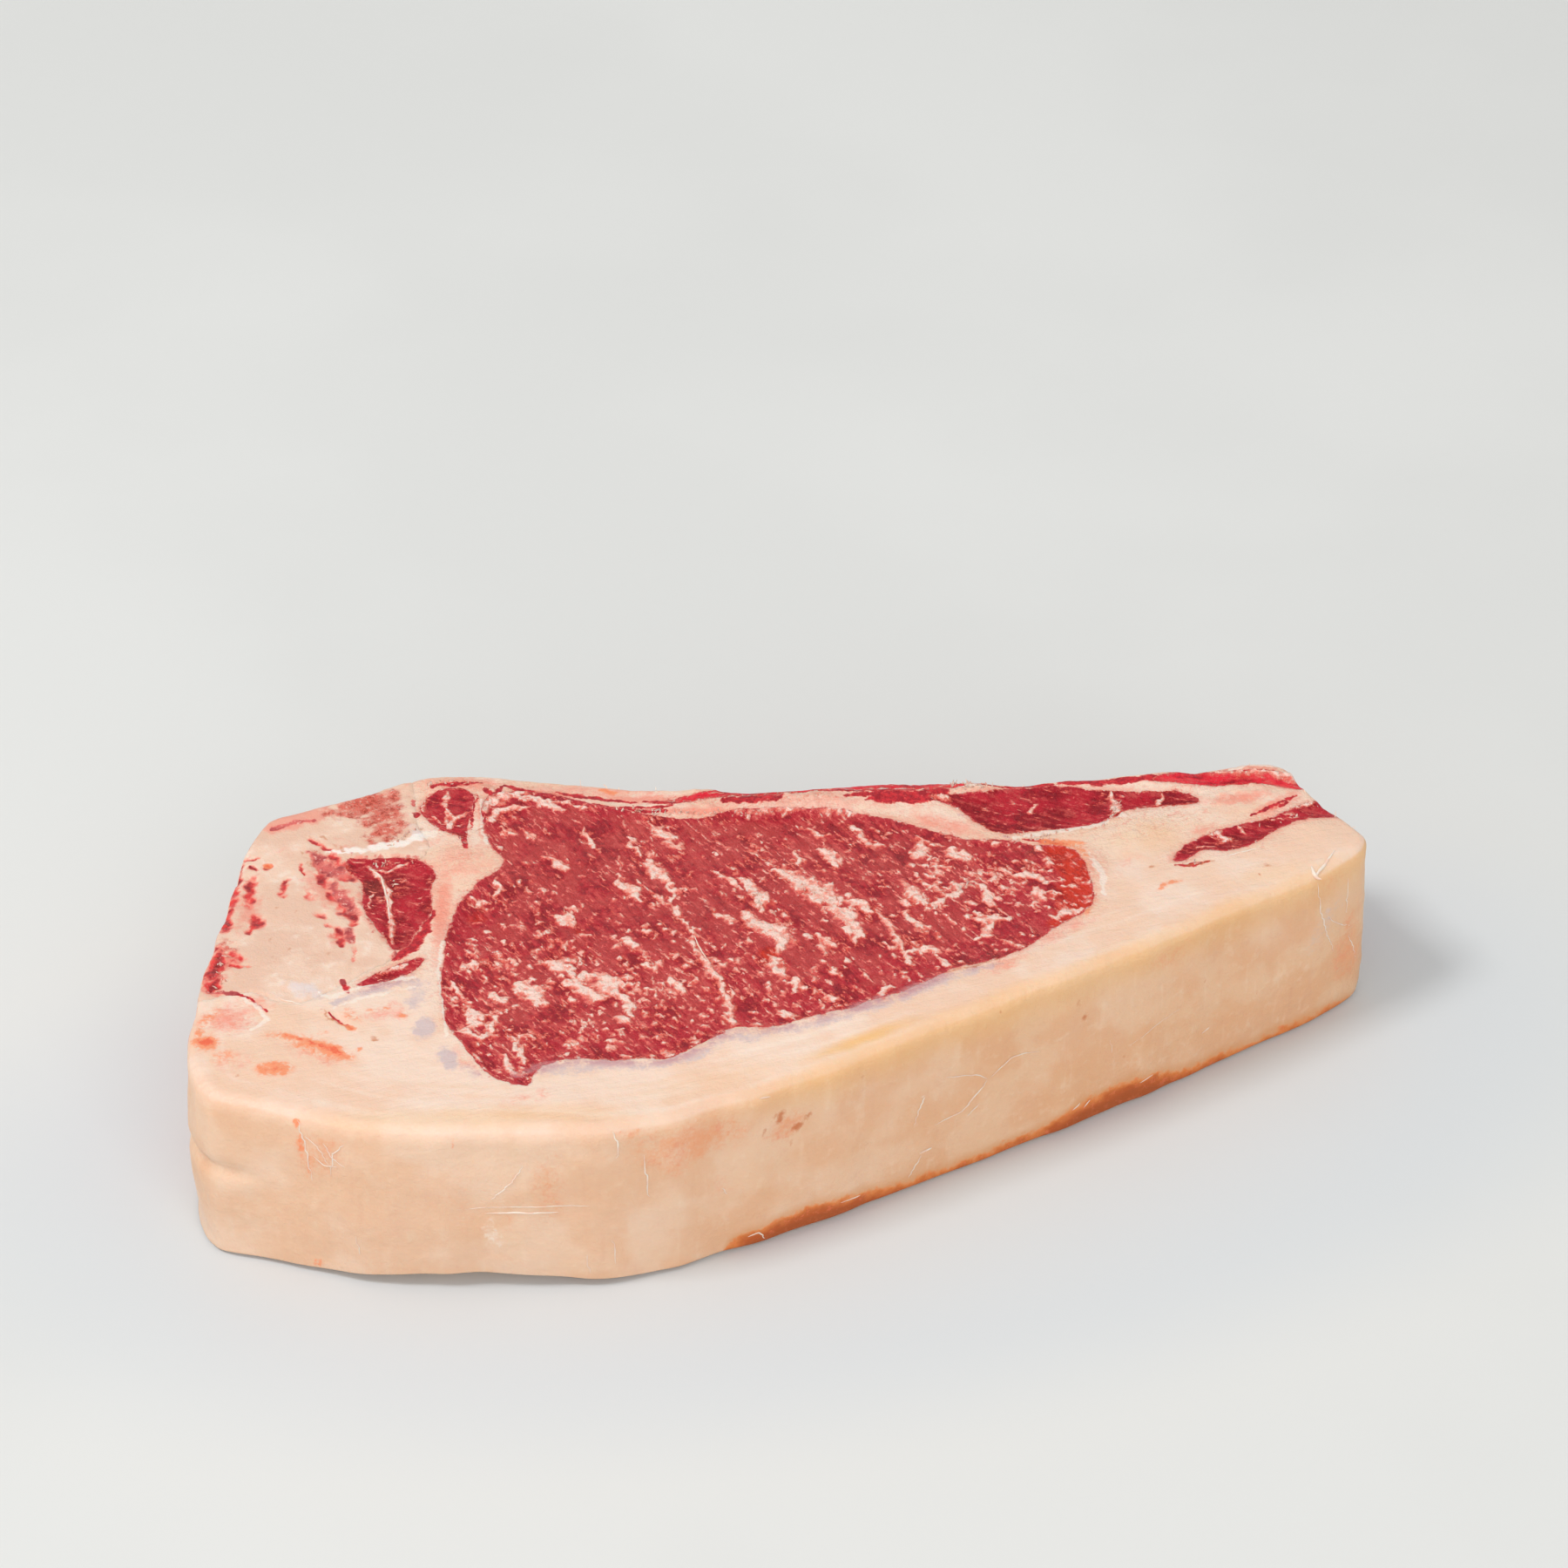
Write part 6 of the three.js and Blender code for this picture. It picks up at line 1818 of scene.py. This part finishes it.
spots = {"Mesh": crumbs.given("Guide"), "Density": density, "Seed": crumbs.given("Seed")}
spots = crumbs.node("GeometryNodeDistributePointsOnFaces", None, spots)
ball = crumbs.node("GeometryNodeMeshIcoSphere", None, {"Radius": 1.0, "Subdivisions": 2})
bulge = crumbs.node("ShaderNodeTexNoise", None, {"Scale": 1.3, "Detail": 2.0}, give="Color")
bulge = crumbs.node("ShaderNodeVectorMath", {"operation": "SUBTRACT"}, [bulge, (0.5, 0.5, 0.5)])
bulge = crumbs.node("ShaderNodeVectorMath", {"operation": "SCALE"}, {"Vector": bulge, "Scale": 3.4})
lump = crumbs.node("GeometryNodeSetPosition", None, {"Geometry": ball, "Offset": bulge})
FULL_TURN = 6.28
turns = {0: (0, 0, 0), 1: (FULL_TURN,) * 3, "Seed": crumbs.given("Seed")}
turned = crumbs.node("FunctionNodeRandomValue", {"data_type": "FLOAT_VECTOR"}, turns, give=0)
stretch = {0: (0.4, 0.25, 0.15), 1: (1.8, 0.7, 0.45), "Seed": crumbs.given("Seed") + 1}
stretch = crumbs.node("FunctionNodeRandomValue", {"data_type": "FLOAT_VECTOR"}, stretch, give=0)
size = {"Vector": stretch, "Scale": crumbs.given("Size") * MM}
scaled = crumbs.node("ShaderNodeVectorMath", {"operation": "SCALE"}, size)
strewn = {"Points": spots, "Instance": lump, "Rotation": turned, "Scale": scaled}
crumbs.ends_in(crumbs.node("GeometryNodeInstanceOnPoints", None, strewn), crumb_fat.material)
crumbs_of_fat = crumbs.grow(
    "crumbs_of_fat", ground, Density=CRUMBS_PER_M2, Size=CRUMB_SIZE, Seed=CRUMB_SEED
)
for piece in (membrane, crumbs_of_fat):
    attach(piece, "root")

# %% [markdown]
# ## Table, light and camera
# The steak lies on a pale table. A soft light stands to the left and above, a wider one in front, the
# room fills in from everywhere else, and the camera looks down at 35 degrees through a long lens. The
# fat throws warm light on the table, so the table is painted a little cooler round the steak.

# %% The table
def table(width, depth, rise, bend):
    """A pale sheet that lies flat and curves up into a backdrop behind."""
    back = depth * 0.6
    profile = [(-depth, 0.0), (back, 0.0)]
    for t in np.linspace(0, math.pi / 2, 24)[1:]:
        profile.append((back + bend * math.sin(t), bend * (1 - math.cos(t))))
    profile.append((back + bend, rise))
    points = [(x, y, z) for y, z in profile for x in (-width / 2, width / 2)]
    faces = [(2 * i, 2 * i + 1, 2 * i + 3, 2 * i + 2) for i in range(len(profile) - 1)]
    mesh = bpy.data.meshes.new("table")
    mesh.from_pydata(points, [], faces)
    mesh.shade_smooth()
    return put_in_scene("table", mesh)


stone = Finish("pale stone")
cloud = stone.vary(260.0, 4, 0, 0.4)
tone = stone.mix((225, 226, 224), (229, 230, 228), cloud.ease(-0.5, 0.5))
cooler = {  # an oval round the steak, in metres
    "Vector": stone.place,
    "Location": (0, -0.005, 0),
    "Rotation": (0, 0, math.radians(14)),
    "Scale": (0.2, 0.11, 0.1),
}
placed = stone.node("ShaderNodeMapping", {"vector_type": "TEXTURE"}, cooler)
near = stone.node("ShaderNodeTexGradient", {"gradient_type": "SPHERICAL"}, [placed], give=1)
tone = stone.mix(tone, (213, 220, 226), near.ease(0.0, 0.35) * 0.6)
stone_top = stone.surface(Base_Color=tone, Roughness=0.55, Specular_IOR_Level=0.3)
floor = table(6.0, 2.4, 2.2, 0.8)
floor.data.materials.append(stone_top)

# %% Lights and room
world = bpy.data.worlds.new("room")
bpy.context.scene.world = world
world.use_nodes = True
background = world.node_tree.nodes["Background"]
background.inputs["Color"].default_value = (1.0, 0.995, 0.985, 1)
background.inputs["Strength"].default_value = 0.6


def soft_light(name, place, target, size, watts):
    """A square light at a place, turned to a target, all in metres and watts."""
    lamp = bpy.data.lights.new(name, "AREA")
    lamp.size, lamp.energy = size, watts
    made = put_in_scene(name, lamp)
    made.location = place
    made.rotation_euler = (Vector(target) - Vector(place)).to_track_quat("-Z", "Y").to_euler()


STEAK_MIDDLE = (0, 0, 0.02)
soft_light("left window", (-1.2, -0.4, 2.0), STEAK_MIDDLE, 0.6, 21.0)
soft_light("front window", (0.6, -2.3, 1.3), STEAK_MIDDLE, 1.6, 18.0)

# %% Camera
CAMERA_PLACE = (-0.0019, -0.8861, 0.6946)
LOOKS_DOWN = 35  # degrees
FOCAL_LENGTH, SENSOR_WIDTH = 130.0, 36.0
lens = bpy.data.cameras.new("camera")
lens.lens, lens.sensor_width, lens.clip_end = FOCAL_LENGTH, SENSOR_WIDTH, 20.0
camera = put_in_scene("camera", lens)
camera.location = CAMERA_PLACE
camera.rotation_euler = (math.radians(90 - LOOKS_DOWN), 0, 0)
bpy.context.scene.camera = camera
bpy.context.scene.view_settings.view_transform = "Standard"
